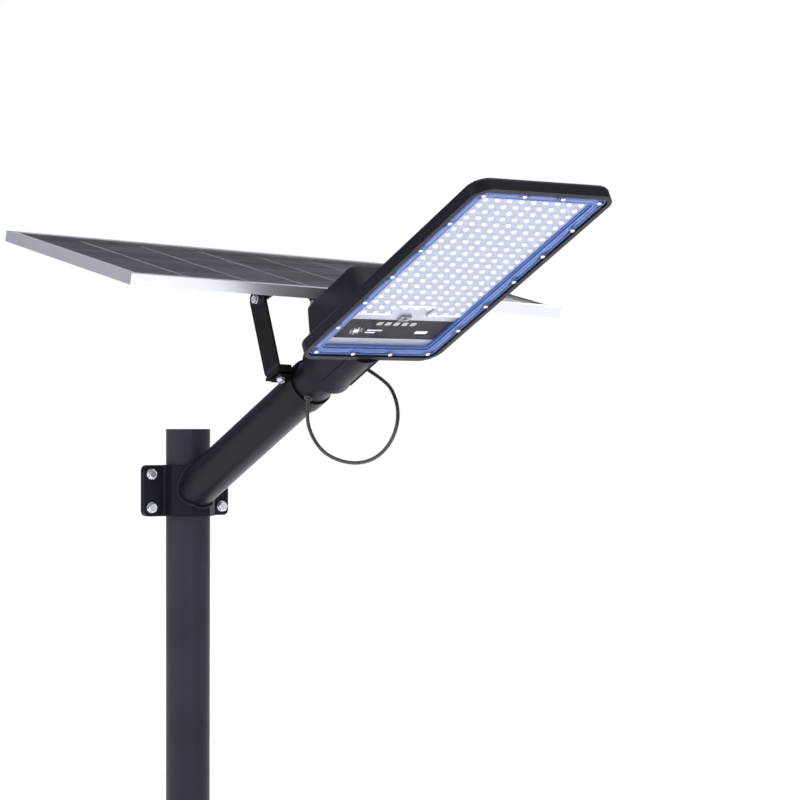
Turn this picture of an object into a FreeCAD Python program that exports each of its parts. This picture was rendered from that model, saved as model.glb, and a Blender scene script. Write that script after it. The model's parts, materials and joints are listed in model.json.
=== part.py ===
import FreeCAD, Part
import math
import operator
import os
import Sketcher

# Solar street lamp: a lamp head on an inclined arm, clamped to the top of a round pole, with a
# solar panel held over the arm by its own bracket.
# Row frame: millimetres, +Z up the pole, -Y along the arm towards the lamp head, +X to the right
# of someone who stands behind the pole's front.  The origin is the centre of the pole's lower end.

SIZES = {
    # clearances
    "moving_gap": 0.3,
    "snug_gap": 0.1,
    "drill_gap": 0.5,
    # how far a cutting or joining solid runs past the face it works on
    "overrun": 1,
    # pole section and its cap
    "pole_diameter": 65,
    "pole_wall": 3,
    "pole_length": 598,
    "socket_diameter": 60.5,
    "socket_depth": 150,
    "cap_thickness": 2,
    "cap_skirt": 16,
    "cap_wall": 2,
    # pole clamp
    "clamp_level": 509.6,
    "clamp_height": 75,
    "clamp_plate": 4,
    "clamp_width": 145,
    "clamp_flange_front": 4,
    "clamp_flange_gap": 2,
    "clamp_corner": 8,
    "clamp_bend": 4,
    "clamp_bolt_x": 60.6,
    "clamp_bolt_rise": 24.5,
    "clamp_bolt_diameter": 8,
    "clamp_bolt_head": 13,
    "clamp_bolt_head_height": 5.3,
    "clamp_nut_height": 6.5,
    "clamp_washer_diameter": 16,
    "clamp_washer_thickness": 1.6,
    "bolt_tip": 2.5,
    "weld_leg": 6,
    # arm
    "arm_height": 501.3,
    "arm_angle": 26.75,
    "arm_diameter": 60,
    "arm_wall": 3,
    "arm_end": 480,
    # rubber grommets
    "grommet_flange": 12,
    "grommet_neck": 9,
    "grommet_proud": 2.5,
    "grommet_bite": 2,
    "cable_diameter": 5,
    "loop_grommet_at": 366.5,
    "loop_grommet_turn": 212,
    "lead_grommet_at": 384,
    "lead_grommet_turn": 32,
    "neck_grommet_at": 446,
    "neck_grommet_turn": 125,
    # lamp head: distances along the arm are from the pole's axis
    "head_at": 708,
    "face_drop": 31.3,
    "head_width": 222,
    "head_length": 437,
    "head_corner": 26,
    "head_depth": 17.5,
    "head_rim": 1.2,
    "head_back_round": 6,
    "head_floor": 11,
    "head_back": 13.5,
    "pocket_margin": 8,
    "pocket_corner": 18,
    "fin_count": 16,
    "fin_pitch": 17.9,
    "fin_first": 203.4,
    "fin_height": 4.5,
    "fin_thickness": 2,
    "boss_margin": 1,
    "cover_width": 206.4,
    "cover_length": 418.8,
    "cover_corner": 13.2,
    "cover_thickness": 2,
    "seal_thickness": 3,
    "window_width": 178,
    "window_length": 388,
    "window_corner": 7,
    "cover_screw_diameter": 3,
    "cover_screw_head": 6.4,
    "cover_screw_head_height": 1.8,
    "cover_screw_length": 11,
    "side_screw_x": 97.8,
    "side_screw_pitch": 66.7,
    "corner_screw_x": 91.5,
    "corner_screw_y": 200,
    "end_screw_x": 30.5,
    "end_screw_y": 203.7,
    # battery box on the back of the head
    "box_width": 193,
    "box_front": 70,
    "box_rear": 211,
    "box_height": 66,
    "box_side_draft": 7.5,
    "box_front_draft": 13,
    "box_rear_draft": 7,
    "box_wall": 3,
    "box_corner": 14,
    "box_round": 6,
    "hatch_half_width": 82,
    "hatch_front": 78,
    "hatch_rear": 188,
    # neck socket of the head
    "neck_diameter": 74,
    "neck_bore": 61.5,
    "neck_mouth": 403.5,
    "neck_bore_end": 484,
    "neck_flare": 2,
    "neck_flare_length": 21,
    "neck_nose": 14,
    "neck_nose_drop": 9,
    "neck_rib_width": 8,
    "neck_rib_height": 2,
    "neck_rib_turn": 37,
    "neck_rib_mouth_gap": 13.5,
    "neck_pad_width": 14,
    "neck_pad_height": 2,
    "neck_bolt_front": 412,
    "neck_bolt_rear": 478,
    "neck_bolt_diameter": 8,
    "neck_bolt_head": 13,
    "neck_bolt_head_height": 4.5,
    "neck_bolt_socket": 6,
    "neck_bolt_socket_floor": 1,
    "wire_hole_diameter": 16,
    # boards and what they carry
    "board_width": 176,
    "board_front": 192.4,
    "board_rear": -125.3,
    "board_thickness": 1.6,
    "board_corner": 5,
    "led_columns": 9,
    "led_rows": 21,
    "led_column_pitch": 19,
    "led_row_pitch": 14.23,
    "led_first_row": 184.2,
    "led_side": 3.2,
    "led_height": 0.8,
    "led_gap_half_width": 30,
    "lens_width": 172,
    "lens_rear": -109,
    "lens_thickness": 1.2,
    "lens_height": 3.2,
    "lens_rim": 3,
    "lens_notch_depth": 22,
    "board_screw_x": 56,
    "board_screw_front": 162.9,
    "board_screw_middle": 63.3,
    "board_screw_rear": -36.3,
    "board_screw_diameter": 3,
    "board_screw_head": 5.6,
    "board_screw_head_height": 1.6,
    "sensor_at": -116.5,
    "sensor_width": 16,
    "sensor_length": 11,
    "sensor_height": 4,
    "label_rear": -193.4,
    "label_thickness": 2,
    "band_rear": -175.7,
    "band_thickness": 0.3,
    "indicator_count": 5,
    "indicator_pitch": 13.5,
    "indicator_side": 7.6,
    "indicator_at": -135.5,
    "indicator_height": 0.3,
    # controller and battery
    "controller_width": 70,
    "controller_front": 143,
    "controller_rear": 187,
    "controller_level": 16.5,
    "controller_thickness": 1.6,
    "controller_post_radius": 2,
    "controller_post_inset": 4.5,
    "controller_margin": 8,
    "controller_chip": 14,
    "controller_chip_height": 3,
    "controller_coil": 9,
    "controller_coil_height": 6,
    "holder_level": 28.2,
    "holder_thickness": 1.8,
    "cell_diameter": 32,
    "cell_length": 70,
    "cell_pitch": 33,
    "cell_end_gap": 1,
    "cell_row_count": 3,
    "cell_first": 109,
    "battery_pad": 1,
    # panel bracket
    "bracket_at": 348,
    "bracket_roll": 2.3,
    "saddle_length": 36,
    "saddle_plate": 4,
    "ear_level": 16,
    "strap_length": 24,
    "strap_plate": 2.5,
    "strap_gap": 2,
    "strap_ear": 48,
    "leg_outside": 52,
    "leg_plate": 4,
    "leg_bend": 8,
    "foot_inside": 30,
    "bracket_bolt_x": 40,
    "bracket_bolt_diameter": 6,
    "bracket_bolt_head": 10,
    "bracket_bolt_head_height": 4,
    "bracket_nut_height": 5,
    "bracket_washer_diameter": 12,
    "bracket_washer_thickness": 1.6,
    "hinge_lean": 6,
    "hinge_height": 131.6,
    # solar panel: its own frame has the hinge as its origin
    "panel_tilt": 12.1,
    "panel_length": 698,
    "panel_width": 363,
    "panel_depth": 15,
    "panel_setback": 13,
    "panel_rise": 29.2,
    "frame_wall": 1.5,
    "frame_lip": 12,
    "frame_lip_thickness": 1.2,
    "frame_shelf": 10,
    "frame_shelf_thickness": 1.2,
    "frame_foot": 18,
    "glass_thickness": 3.2,
    "cell_sheet": 0.3,
    "backsheet": 0.4,
    "laminate_gap": 0.2,
    "solar_columns": 7,
    "solar_rows": 4,
    "solar_gap": 2,
    "solar_margin": 15,
    "corner_key_leg": 22,
    "corner_key_thickness": 2,
    "junction_width": 60,
    "junction_length": 80,
    "junction_depth": 16,
    "junction_wall": 2,
    "gland_diameter": 14,
    "gland_length": 9,
    "rail_plate": 3,
    "rail_flange": 20,
    "rail_gusset_front": 60,
    "rail_gusset_rear": 60,
    "hinge_lobe": 11,
    "hinge_bolt_diameter": 6,
    "rail_screw_diameter": 4,
    "rail_screw_head": 8,
    "rail_screw_head_height": 2.5,
}

HEX_CORNER = 1 / math.sqrt(3)
OCTAGON_SHARE = math.tan(math.radians(22.5))
OCTAGON_TURN = 22.5
SAME = 0.01

os.makedirs("parts", exist_ok=True)
DOC = FreeCAD.newDocument("solar_street_lamp")
SHEET = DOC.addObject("Spreadsheet::Sheet", "dims")


class Size:
    """A number together with the sheet expression that gives it."""

    def __init__(self, value, text):
        self.value = value
        self.text = text

    def __add__(self, other):
        return combine(self, "+", other)

    def __radd__(self, other):
        return combine(other, "+", self)

    def __sub__(self, other):
        return combine(self, "-", other)

    def __rsub__(self, other):
        return combine(other, "-", self)

    def __mul__(self, other):
        return combine(self, "*", other)

    def __rmul__(self, other):
        return combine(other, "*", self)

    def __truediv__(self, other):
        return combine(self, "/", other)

    def __neg__(self):
        return combine(0, "-", self)


SIGNS = {"+": operator.add, "-": operator.sub, "*": operator.mul, "/": operator.truediv}


def size(number):
    """The number itself when it is a Size already, else a plain one."""
    if isinstance(number, Size):
        return number
    return Size(float(number), "(%.9g)" % number)


def combine(left, sign, right):
    left = size(left)
    right = size(right)
    return Size(SIGNS[sign](left.value, right.value), f"({left.text} {sign} {right.text})")


class Sizes:
    """Gives each cell of the sheet by its name."""

    def __getattr__(self, name):
        return Size(float(SIZES[name]), "dims." + name)


def fill_sheet():
    for row, (name, value) in enumerate(SIZES.items(), start=1):
        SHEET.set(f"A{row}", name)
        SHEET.set(f"B{row}", str(value))
        SHEET.setAlias(f"B{row}", name)
    DOC.recompute()


d = Sizes()
fill_sheet()

# ---------------------------------------------------------------- placing and drawing helpers

ALONG = {
    "+X": ((0, 1, 0), 90),
    "-X": ((0, 1, 0), -90),
    "+Y": ((1, 0, 0), -90),
    "-Y": ((1, 0, 0), 90),
    "+Z": ((0, 0, 1), 0),
    "-Z": ((1, 0, 0), 180),
}
PROFILE_IN_YZ = ((1, 1, 1), 120)
PROFILE_IN_XZ = ((1, 0, 0), 90)
LOCAL = {}
NODES = []


def spot(at=(0, 0, 0), turn=((0, 0, 1), 0)):
    """The text of a placement: where, and the turn about an axis."""
    x, y, z = [size(value).text for value in at]
    axis, angle = turn
    rotation = f"rotation(vector({axis[0]};{axis[1]};{axis[2]});{size(angle).text})"
    return f"placement(vector({x};{y};{z});{rotation})"


def seat(piece, place):
    piece.setExpression("Placement", place)
    LOCAL[piece.Name] = place
    return piece


def bind(piece, **values):
    for name, value in values.items():
        piece.setExpression(name, size(value).text)
    return piece


def rod(radius, length, at=(0, 0, 0), along="+Z"):
    piece = bind(DOC.addObject("Part::Cylinder", "rod"), Radius=radius, Height=length)
    return seat(piece, spot(at, ALONG[along]))


def taper(radius_1, radius_2, length, at=(0, 0, 0), along="+Z"):
    piece = bind(DOC.addObject("Part::Cone", "taper"), Radius1=radius_1, Radius2=radius_2, Height=length)
    return seat(piece, spot(at, ALONG[along]))


def prism(sides, radius, length, at=(0, 0, 0), turn=ALONG["+Z"]):
    piece = bind(DOC.addObject("Part::Prism", "prism"), Circumradius=radius, Height=length)
    piece.Polygon = sides
    return seat(piece, spot(at, turn))


def hexagon(across_flats, length, at=(0, 0, 0), along="+Z"):
    return prism(6, across_flats * HEX_CORNER, length, at, ALONG[along])


def block(x, y, z):
    """A box from its lowest and highest x, y and z."""
    piece = DOC.addObject("Part::Box", "block")
    low = [size(pair[0]) for pair in (x, y, z)]
    high = [size(pair[1]) for pair in (x, y, z)]
    bind(piece, Length=high[0] - low[0], Width=high[1] - low[1], Height=high[2] - low[2])
    return seat(piece, spot(low))


def frustum(x, y, z, side, front, rear):
    """A box whose top is drawn in by side, front (at low y) and rear (at high y)."""
    piece = DOC.addObject("Part::Wedge", "frustum")
    x, y, z = [[size(value) for value in pair] for pair in (x, y, z)]
    bind(piece, Xmin=x[0], Xmax=x[1], X2min=x[0] + side, X2max=x[1] - side)
    bind(piece, Ymin=z[0], Ymax=z[1])
    bind(piece, Zmin=-y[1], Zmax=-y[0], Z2min=rear - y[1], Z2max=-y[0] - front)
    return seat(piece, spot((0, 0, 0), ((1, 0, 0), 90)))


def several(kind, name, **links):
    piece = DOC.addObject(kind, name)
    for link, value in links.items():
        setattr(piece, link, value)
    return piece


def merge(*pieces):
    return several("Part::MultiFuse", "merge", Shapes=list(pieces), Refine=True)


def shared(*pieces):
    return several("Part::MultiCommon", "shared", Shapes=list(pieces))


def group(*pieces):
    """Separate solids that make one node."""
    return several("Part::Compound", "group", Links=list(pieces))


def cut(base, *tools):
    tool = tools[0] if len(tools) == 1 else group(*tools)
    return several("Part::Cut", "cut", Base=base, Tool=tool, Refine=True)


def new_sketch(body):
    sketch = body.newObject("Sketcher::SketchObject", "outline")
    plane = [item for item in body.Origin.OriginFeatures if item.Role == "XY_Plane"][0]
    sketch.AttachmentSupport = [(plane, "")]
    sketch.MapMode = "FlatFace"
    return sketch


def pad(body, sketch, length):
    feature = body.newObject("PartDesign::Pad", "pad")
    feature.Profile = sketch
    bind(feature, Length=length)
    return feature


def measure(sketch, kind, first, value, *rest):
    """Adds a dimension to the sketch and ties it to the sheet."""
    index = sketch.addConstraint(Sketcher.Constraint(kind, *first, *rest, size(value).value))
    sketch.setExpression(f"Constraints[{index}]", size(value).text)


def profile(points, length, at=(0, 0, 0), turn=ALONG["+Z"]):
    """A body: the straight-sided outline through the points, padded by length."""
    body = DOC.addObject("PartDesign::Body", "profile")
    sketch = new_sketch(body)
    corners = [(size(x), size(y)) for x, y in points]
    ends = [FreeCAD.Vector(x.value, y.value, 0) for x, y in corners]
    count = len(ends)
    for index in range(count):
        sketch.addGeometry(Part.LineSegment(ends[index], ends[(index + 1) % count]), False)
    for index in range(count):
        sketch.addConstraint(Sketcher.Constraint("Coincident", index, 2, (index + 1) % count, 1))
    for index, (x, y) in enumerate(corners):
        measure(sketch, "DistanceX", (-1, 1, index, 1), x)
        measure(sketch, "DistanceY", (-1, 1, index, 1), y)
    pad(body, sketch, length)
    return seat(body, spot(at, turn))


def rounded_outline(body, width, length, corner):
    """A sketch of a rectangle with rounded corners, centred on its body's origin."""
    width, length, corner = size(width), size(length), size(corner)
    sketch = new_sketch(body)
    half_x, half_y, radius = width.value / 2, length.value / 2, corner.value
    core_x, core_y = half_x - radius, half_y - radius
    quarter = math.pi / 2
    sides = [
        ((-core_x, -half_y), (core_x, -half_y)),
        ((half_x, -core_y), (half_x, core_y)),
        ((core_x, half_y), (-core_x, half_y)),
        ((-half_x, core_y), (-half_x, -core_y)),
    ]
    middles = [(core_x, -core_y), (core_x, core_y), (-core_x, core_y), (-core_x, -core_y)]
    up = FreeCAD.Vector(0, 0, 1)
    for index in range(4):
        start, end = [FreeCAD.Vector(*point, 0) for point in sides[index]]
        sketch.addGeometry(Part.LineSegment(start, end), False)
        circle = Part.Circle(FreeCAD.Vector(*middles[index], 0), up, radius)
        arc = Part.ArcOfCircle(circle, (index - 1) * quarter, index * quarter)
        sketch.addGeometry(arc, False)
    for index in range(4):
        line, arc, following = 2 * index, 2 * index + 1, (2 * index + 2) % 8
        sketch.addConstraint(Sketcher.Constraint("Tangent", line, 2, arc, 1))
        sketch.addConstraint(Sketcher.Constraint("Tangent", arc, 2, following, 1))
        level = "Vertical" if index % 2 else "Horizontal"
        sketch.addConstraint(Sketcher.Constraint(level, line))
        if index:
            sketch.addConstraint(Sketcher.Constraint("Equal", 1, arc))
    sketch.addConstraint(Sketcher.Constraint("Symmetric", 1, 3, 5, 3, -1, 1))
    measure(sketch, "Radius", (1,), corner)
    measure(sketch, "DistanceX", (7, 3, 1, 3), width - 2 * corner)
    measure(sketch, "DistanceY", (1, 3, 3, 3), length - 2 * corner)
    return sketch


def rounded_plate(width, length, corner, z, y=0):
    """A body: a plate with rounded corners, its middle at y, between two levels."""
    body = DOC.addObject("PartDesign::Body", "rounded_plate")
    pad(body, rounded_outline(body, width, length, corner), size(z[1]) - z[0])
    return seat(body, spot((0, y, z[0])))


def round_edges(body, radius, chosen):
    """Rounds the edges of a body that the test chosen picks."""
    DOC.recompute()
    tip = body.Tip
    names = [f"Edge{index}" for index, edge in enumerate(tip.Shape.Edges, start=1) if chosen(edge)]
    feature = body.newObject("PartDesign::Fillet", "rounding")
    feature.Base = (tip, names)
    bind(feature, Radius=radius)
    return body


def round_solid(base, radius, chosen):
    """Rounds the edges of a primitive that the test chosen picks."""
    DOC.recompute()
    amount = size(radius).value
    edges = enumerate(base.Shape.Edges, start=1)
    picked = [(index, amount, amount) for index, edge in edges if chosen(edge)]
    return several("Part::Fillet", "rounding", Base=base, Edges=picked)


def middle(edge):
    return edge.BoundBox.Center


def near(one, two):
    return abs(size(one).value - size(two).value) < SAME


def ordered(one, two):
    return (one, two) if one.value < two.value else (two, one)


def along_z(edge):
    return edge.BoundBox.XLength < SAME and edge.BoundBox.YLength < SAME


def node(label, piece, frame=""):
    """Names a finished sub-part and puts it in its frame."""
    piece.Label = label
    own = LOCAL.get(piece.Name, "")
    whole = " * ".join(text for text in (frame, own) if text)
    if whole:
        piece.setExpression("Placement", whole)
    NODES.append(piece)


def screw(radius, reach, head, at, along):
    """A fastener: its head piece and the shank that runs from the head's underside."""
    return merge(head, rod(radius, reach, at, along))


def ring(outside, inside, length, at=(0, 0, 0), along="+Z"):
    return cut(rod(outside, length, at, along), rod(inside, length, at, along))


# ---------------------------------------------------------------- frames of the assemblies

ABOUT_X = (1, 0, 0)
ABOUT_Y = (0, 1, 0)
ABOUT_Z = (0, 0, 1)
CLAMP = spot((0, 0, d.clamp_level))
ARM = spot((0, 0, d.arm_height), (ABOUT_X, -d.arm_angle))
HEAD = ARM + " * " + spot((0, -d.head_at, -d.face_drop))
BRACKET = ARM + " * " + spot((0, -d.bracket_at, 0), (ABOUT_Y, d.bracket_roll))
HINGE_AT = (0, -d.hinge_lean, d.hinge_height)
PANEL = BRACKET + " * " + spot(HINGE_AT, (ABOUT_X, d.arm_angle + d.panel_tilt))

SIDES = {"left": -1, "right": 1}

# ---------------------------------------------------------------- pole section

pole_radius = d.pole_diameter / 2
pole_bore = pole_radius - d.pole_wall
socket_radius = d.socket_diameter / 2


def make_pole():
    tube = ring(pole_radius, pole_bore, d.pole_length)
    node("pole", cut(tube, rod(socket_radius, d.socket_depth)))
    disc = rod(pole_radius, d.cap_thickness, (0, 0, d.pole_length))
    skirt_radius = pole_bore - d.snug_gap
    skirt_at = (0, 0, d.pole_length - d.cap_skirt)
    skirt = ring(skirt_radius, skirt_radius - d.cap_wall, d.cap_skirt, skirt_at)
    node("pole_cap", merge(disc, skirt))


make_pole()

# ---------------------------------------------------------------- pole clamp: two bent plates

clamp_inside = pole_radius + d.moving_gap
clamp_outside = clamp_inside + d.clamp_plate
clamp_half_width = d.clamp_width / 2
front_flange = (d.clamp_flange_front, d.clamp_flange_front + d.clamp_plate)
rear_flange_start = front_flange[1] + d.clamp_flange_gap
rear_flange = (rear_flange_start, rear_flange_start + d.clamp_plate)
bolt_hole_radius = d.clamp_bolt_diameter / 2 + d.drill_gap


def half_octagon(side, face, inner_face):
    """The bent plate's outline; side is -1 for the front plate and 1 for the rear one."""
    out, inn, wide = clamp_outside, clamp_inside, clamp_half_width
    right = [
        (wide, face),
        (out, face),
        (out, side * out * OCTAGON_SHARE),
        (out * OCTAGON_SHARE, side * out),
    ]
    left = [
        (inn * OCTAGON_SHARE, side * inn),
        (inn, side * inn * OCTAGON_SHARE),
        (inn, inner_face),
        (wide, inner_face),
    ]
    outer = right + [(-x, y) for x, y in reversed(right)]
    inner = [(-x, y) for x, y in reversed(left)] + left
    return outer + inner


def clamp_places():
    for side in SIDES.values():
        for rise in (-1, 1):
            yield side * d.clamp_bolt_x, rise * d.clamp_bolt_rise


def make_clamp_plate(label, side, face, inner_face):
    plate = profile(half_octagon(side, face, inner_face), d.clamp_height, (0, 0, -d.clamp_height / 2))

    def bends(edge):
        centre = middle(edge)
        return along_z(edge) and near(abs(centre.x), clamp_outside) and near(centre.y, face)

    def corners(edge):
        box = edge.BoundBox
        through = near(box.YLength, d.clamp_plate) and box.XLength < SAME and box.ZLength < SAME
        return through and near(abs(box.Center.x), clamp_half_width)

    if side < 0:
        round_edges(plate, d.clamp_bend, bends)
    round_edges(plate, d.clamp_corner, corners)
    start = ordered(face, inner_face)[0]
    holes = [rod(bolt_hole_radius, d.clamp_plate, (x, start, z), "+Y") for x, z in clamp_places()]
    node(label, cut(plate, *holes), CLAMP)


def make_clamp():
    make_clamp_plate("clamp_front", -1, front_flange[0], front_flange[1])
    make_clamp_plate("clamp_rear", 1, rear_flange[1], rear_flange[0])
    radius = d.clamp_bolt_diameter / 2
    washer_hole = radius + d.snug_gap
    washer_radius = d.clamp_washer_diameter / 2
    front_washer = front_flange[0] - d.clamp_washer_thickness
    rear_nut = rear_flange[1] + d.clamp_washer_thickness
    reach = rear_nut + d.clamp_nut_height + d.bolt_tip - front_washer
    bolts, nuts, washers = [], [], []
    for x, z in clamp_places():
        head_at = (x, front_washer - d.clamp_bolt_head_height, z)
        head = hexagon(d.clamp_bolt_head, d.clamp_bolt_head_height, head_at, "+Y")
        bolts.append(screw(radius, reach, head, (x, front_washer, z), "+Y"))
        nut = hexagon(d.clamp_bolt_head, d.clamp_nut_height, (x, rear_nut, z), "+Y")
        nuts.append(cut(nut, rod(washer_hole, d.clamp_nut_height, (x, rear_nut, z), "+Y")))
        for start in (front_washer, rear_flange[1]):
            place = (x, start, z)
            washers.append(ring(washer_radius, washer_hole, d.clamp_washer_thickness, place, "+Y"))
    node("clamp_bolts", group(*bolts), CLAMP)
    node("clamp_nuts", group(*nuts), CLAMP)
    node("clamp_washers", group(*washers), CLAMP)


make_clamp()

# ---------------------------------------------------------------- arm, weld and grommets

arm_radius = d.arm_diameter / 2
arm_bore = arm_radius - d.arm_wall
neck_radius = d.neck_diameter / 2
FROM_ARM = spot((0, 0, 0), (ABOUT_X, d.arm_angle)) + " * " + spot((0, 0, -d.arm_height))


def octagon_in_arm_frame(apothem):
    """The outline of the bent clamp, as a solid, seen from the arm's own frame."""
    corner = apothem / math.cos(math.radians(OCTAGON_TURN))
    height = 4 * d.clamp_height
    piece = prism(8, corner, height)
    place = spot((0, 0, d.clamp_level - height / 2), (ABOUT_Z, OCTAGON_TURN))
    return seat(piece, FROM_ARM + " * " + place)


def radial(at, turn):
    """A frame on the arm's axis whose Z points out through the tube's wall."""
    return spot((0, -at, 0), (ABOUT_Y, turn))


def radial_rod(radius, start, length, at, turn):
    piece = rod(radius, length, (0, 0, start))
    return seat(piece, radial(at, turn) + " * " + spot((0, 0, start)))


def make_arm():
    length = d.arm_end
    tube = ring(arm_radius, arm_bore, length, (0, 0, 0), "-Y")
    hole = d.grommet_neck / 2 + d.snug_gap
    places = [
        (d.loop_grommet_at, d.loop_grommet_turn),
        (d.lead_grommet_at, d.lead_grommet_turn),
        (d.neck_grommet_at, d.neck_grommet_turn),
    ]
    holes = [radial_rod(hole, arm_radius / 2, arm_radius, at, turn) for at, turn in places]
    node("arm_tube", cut(tube, octagon_in_arm_frame(clamp_outside), *holes), ARM)

    # The weld runs round the tube where it meets the bent front plate.
    fat = ring(arm_radius + d.weld_leg, arm_radius, 2 * d.clamp_height, (0, 0, 0), "-Y")
    shell = cut(octagon_in_arm_frame(clamp_outside + d.weld_leg), octagon_in_arm_frame(clamp_outside))
    half = d.clamp_height / 2
    reach = 2 * d.clamp_width
    slab_y = (-reach, front_flange[0])
    slab = block((-reach, reach), slab_y, (d.clamp_level - half, d.clamp_level + half))
    seat(slab, FROM_ARM + " * " + LOCAL[slab.Name])
    node("arm_weld", shared(fat, shell, slab), ARM)


def make_grommet(label, at, turn, surface, bore, has_hole):
    """A rubber grommet in the wall of the arm or of the head's neck."""
    thickness = d.grommet_proud + d.grommet_bite
    flange = radial_rod(d.grommet_flange / 2, surface - d.grommet_bite, thickness, at, turn)
    around = rod(surface, 4 * d.grommet_flange, (0, 2 * d.grommet_flange - at, 0), "-Y")
    collar = cut(flange, around)
    stem = radial_rod(d.grommet_neck / 2, bore, surface + d.grommet_proud / 2 - bore, at, turn)
    piece = merge(collar, stem)
    if has_hole:
        through = radial_rod(d.cable_diameter / 2, bore - d.overrun, surface + d.grommet_proud, at, turn)
        piece = cut(piece, through)
    node(label, piece, ARM)


make_arm()
make_grommet("loop_grommet", d.loop_grommet_at, d.loop_grommet_turn, arm_radius, arm_bore, False)
make_grommet("lead_grommet", d.lead_grommet_at, d.lead_grommet_turn, arm_radius, arm_bore, True)
neck_inside = d.neck_bore / 2
make_grommet("neck_grommet", d.neck_grommet_at, d.neck_grommet_turn, neck_radius, neck_inside, False)

# ---------------------------------------------------------------- lamp head
# Its frame: x across, y back towards the pole, z up out of the back; z = 0 is the clear cover's face.

recess_floor = d.cover_thickness + d.seal_thickness
head_half_length = d.head_length / 2
axis_level = d.face_drop


def cover_screw_places():
    for side in SIDES.values():
        for end in (-1, 1):
            yield side * d.corner_screw_x, end * d.corner_screw_y
            yield side * d.end_screw_x, end * d.end_screw_y
        for step in range(-2, 3):
            yield side * d.side_screw_x, step * d.side_screw_pitch


def board_screw_places():
    for side in SIDES.values():
        for along in (d.board_screw_front, d.board_screw_middle, d.board_screw_rear):
            yield side * d.board_screw_x, -along


def shell_outside():
    tray = rounded_plate(d.head_width, d.head_length, d.head_corner, (-d.head_rim, d.head_depth))

    def back_rim(edge):
        return near(edge.BoundBox.ZMin, d.head_rim + d.head_depth)

    round_edges(tray, d.head_back_round, back_rim)
    pocket_width = d.head_width - 2 * d.pocket_margin
    pocket_length = d.head_length - 2 * d.pocket_margin
    pocket_z = (d.head_back, d.head_depth + d.overrun)
    pocket = rounded_plate(pocket_width, pocket_length, d.pocket_corner, pocket_z)
    return cut(tray, pocket)


def fins():
    half = d.head_width / 2 - d.pocket_margin
    z = (d.head_back, d.head_back + d.fin_height)
    for index in range(SIZES["fin_count"]):
        start = -(d.fin_first - index * d.fin_pitch) - d.fin_thickness / 2
        yield block((-half, half), (start, start + d.fin_thickness), z)


def back_bosses():
    """Round pads on the back, over the screws of the cover and of the board."""
    boss = d.cover_screw_head / 2 + d.boss_margin
    for x, y in list(cover_screw_places()) + list(board_screw_places()):
        yield rod(boss, d.fin_height / 2, (x, y, d.head_back))


def battery_box(inset, low, high, rounding):
    """The battery box, or the room in it when inset is its wall: wide at the foot, drawn in above."""
    half = d.box_width / 2 - inset
    y = (d.box_front + inset, d.box_rear - inset)
    box = frustum((-half, half), y, (low, high), d.box_side_draft, d.box_front_draft, d.box_rear_draft)

    def corners(edge):
        return edge.BoundBox.ZLength > SAME

    def upper_rim(edge):
        return near(edge.BoundBox.ZMin, high) and near(edge.BoundBox.ZMax, high)

    return round_solid(round_solid(box, d.box_corner - inset, corners), rounding, upper_rim)


def neck_along(distance):
    """The head frame's y of a place that is this far along the arm."""
    return d.head_at - distance


def neck_outside():
    end = head_half_length
    mouth = neck_along(d.neck_mouth)
    inner = d.box_rear - d.neck_nose / 2
    tube = rod(neck_radius, mouth - inner, (0, inner, axis_level), "+Y")
    nose = taper(neck_radius, neck_radius - d.neck_nose_drop, d.neck_nose, (0, inner, axis_level), "-Y")
    flare_at = (0, mouth - d.neck_flare_length, axis_level)
    flare = taper(neck_radius, neck_radius + d.neck_flare, d.neck_flare_length, flare_at, "+Y")
    half_pad = d.neck_pad_width / 2
    top = axis_level + neck_radius + d.neck_pad_height
    strip_z = (axis_level + neck_inside + d.overrun, top)
    strip = block((-half_pad, half_pad), (end, mouth - d.bolt_tip), strip_z)
    ribs = [neck_rib(side) for side in SIDES.values()]
    whole = merge(tube, nose, flare, strip, *ribs)
    below = block((-d.head_width, d.head_width), (0, end - d.snug_gap), (-d.head_width, d.head_back))
    return cut(whole, below)


def neck_rib(side):
    """A rib along the underside of the neck, off to one side."""
    half = d.neck_rib_width / 2
    start = head_half_length
    end = neck_along(d.neck_mouth) - d.neck_rib_mouth_gap
    out = neck_radius + d.neck_rib_height
    rib = block((-half, half), (start, end), (neck_inside + d.overrun, out))
    turn = 180 + side * d.neck_rib_turn
    return seat(rib, spot((0, 0, axis_level), (ABOUT_Y, turn)) + " * " + LOCAL[rib.Name])


def neck_bolt_places():
    return neck_along(d.neck_bolt_front), neck_along(d.neck_bolt_rear)


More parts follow.
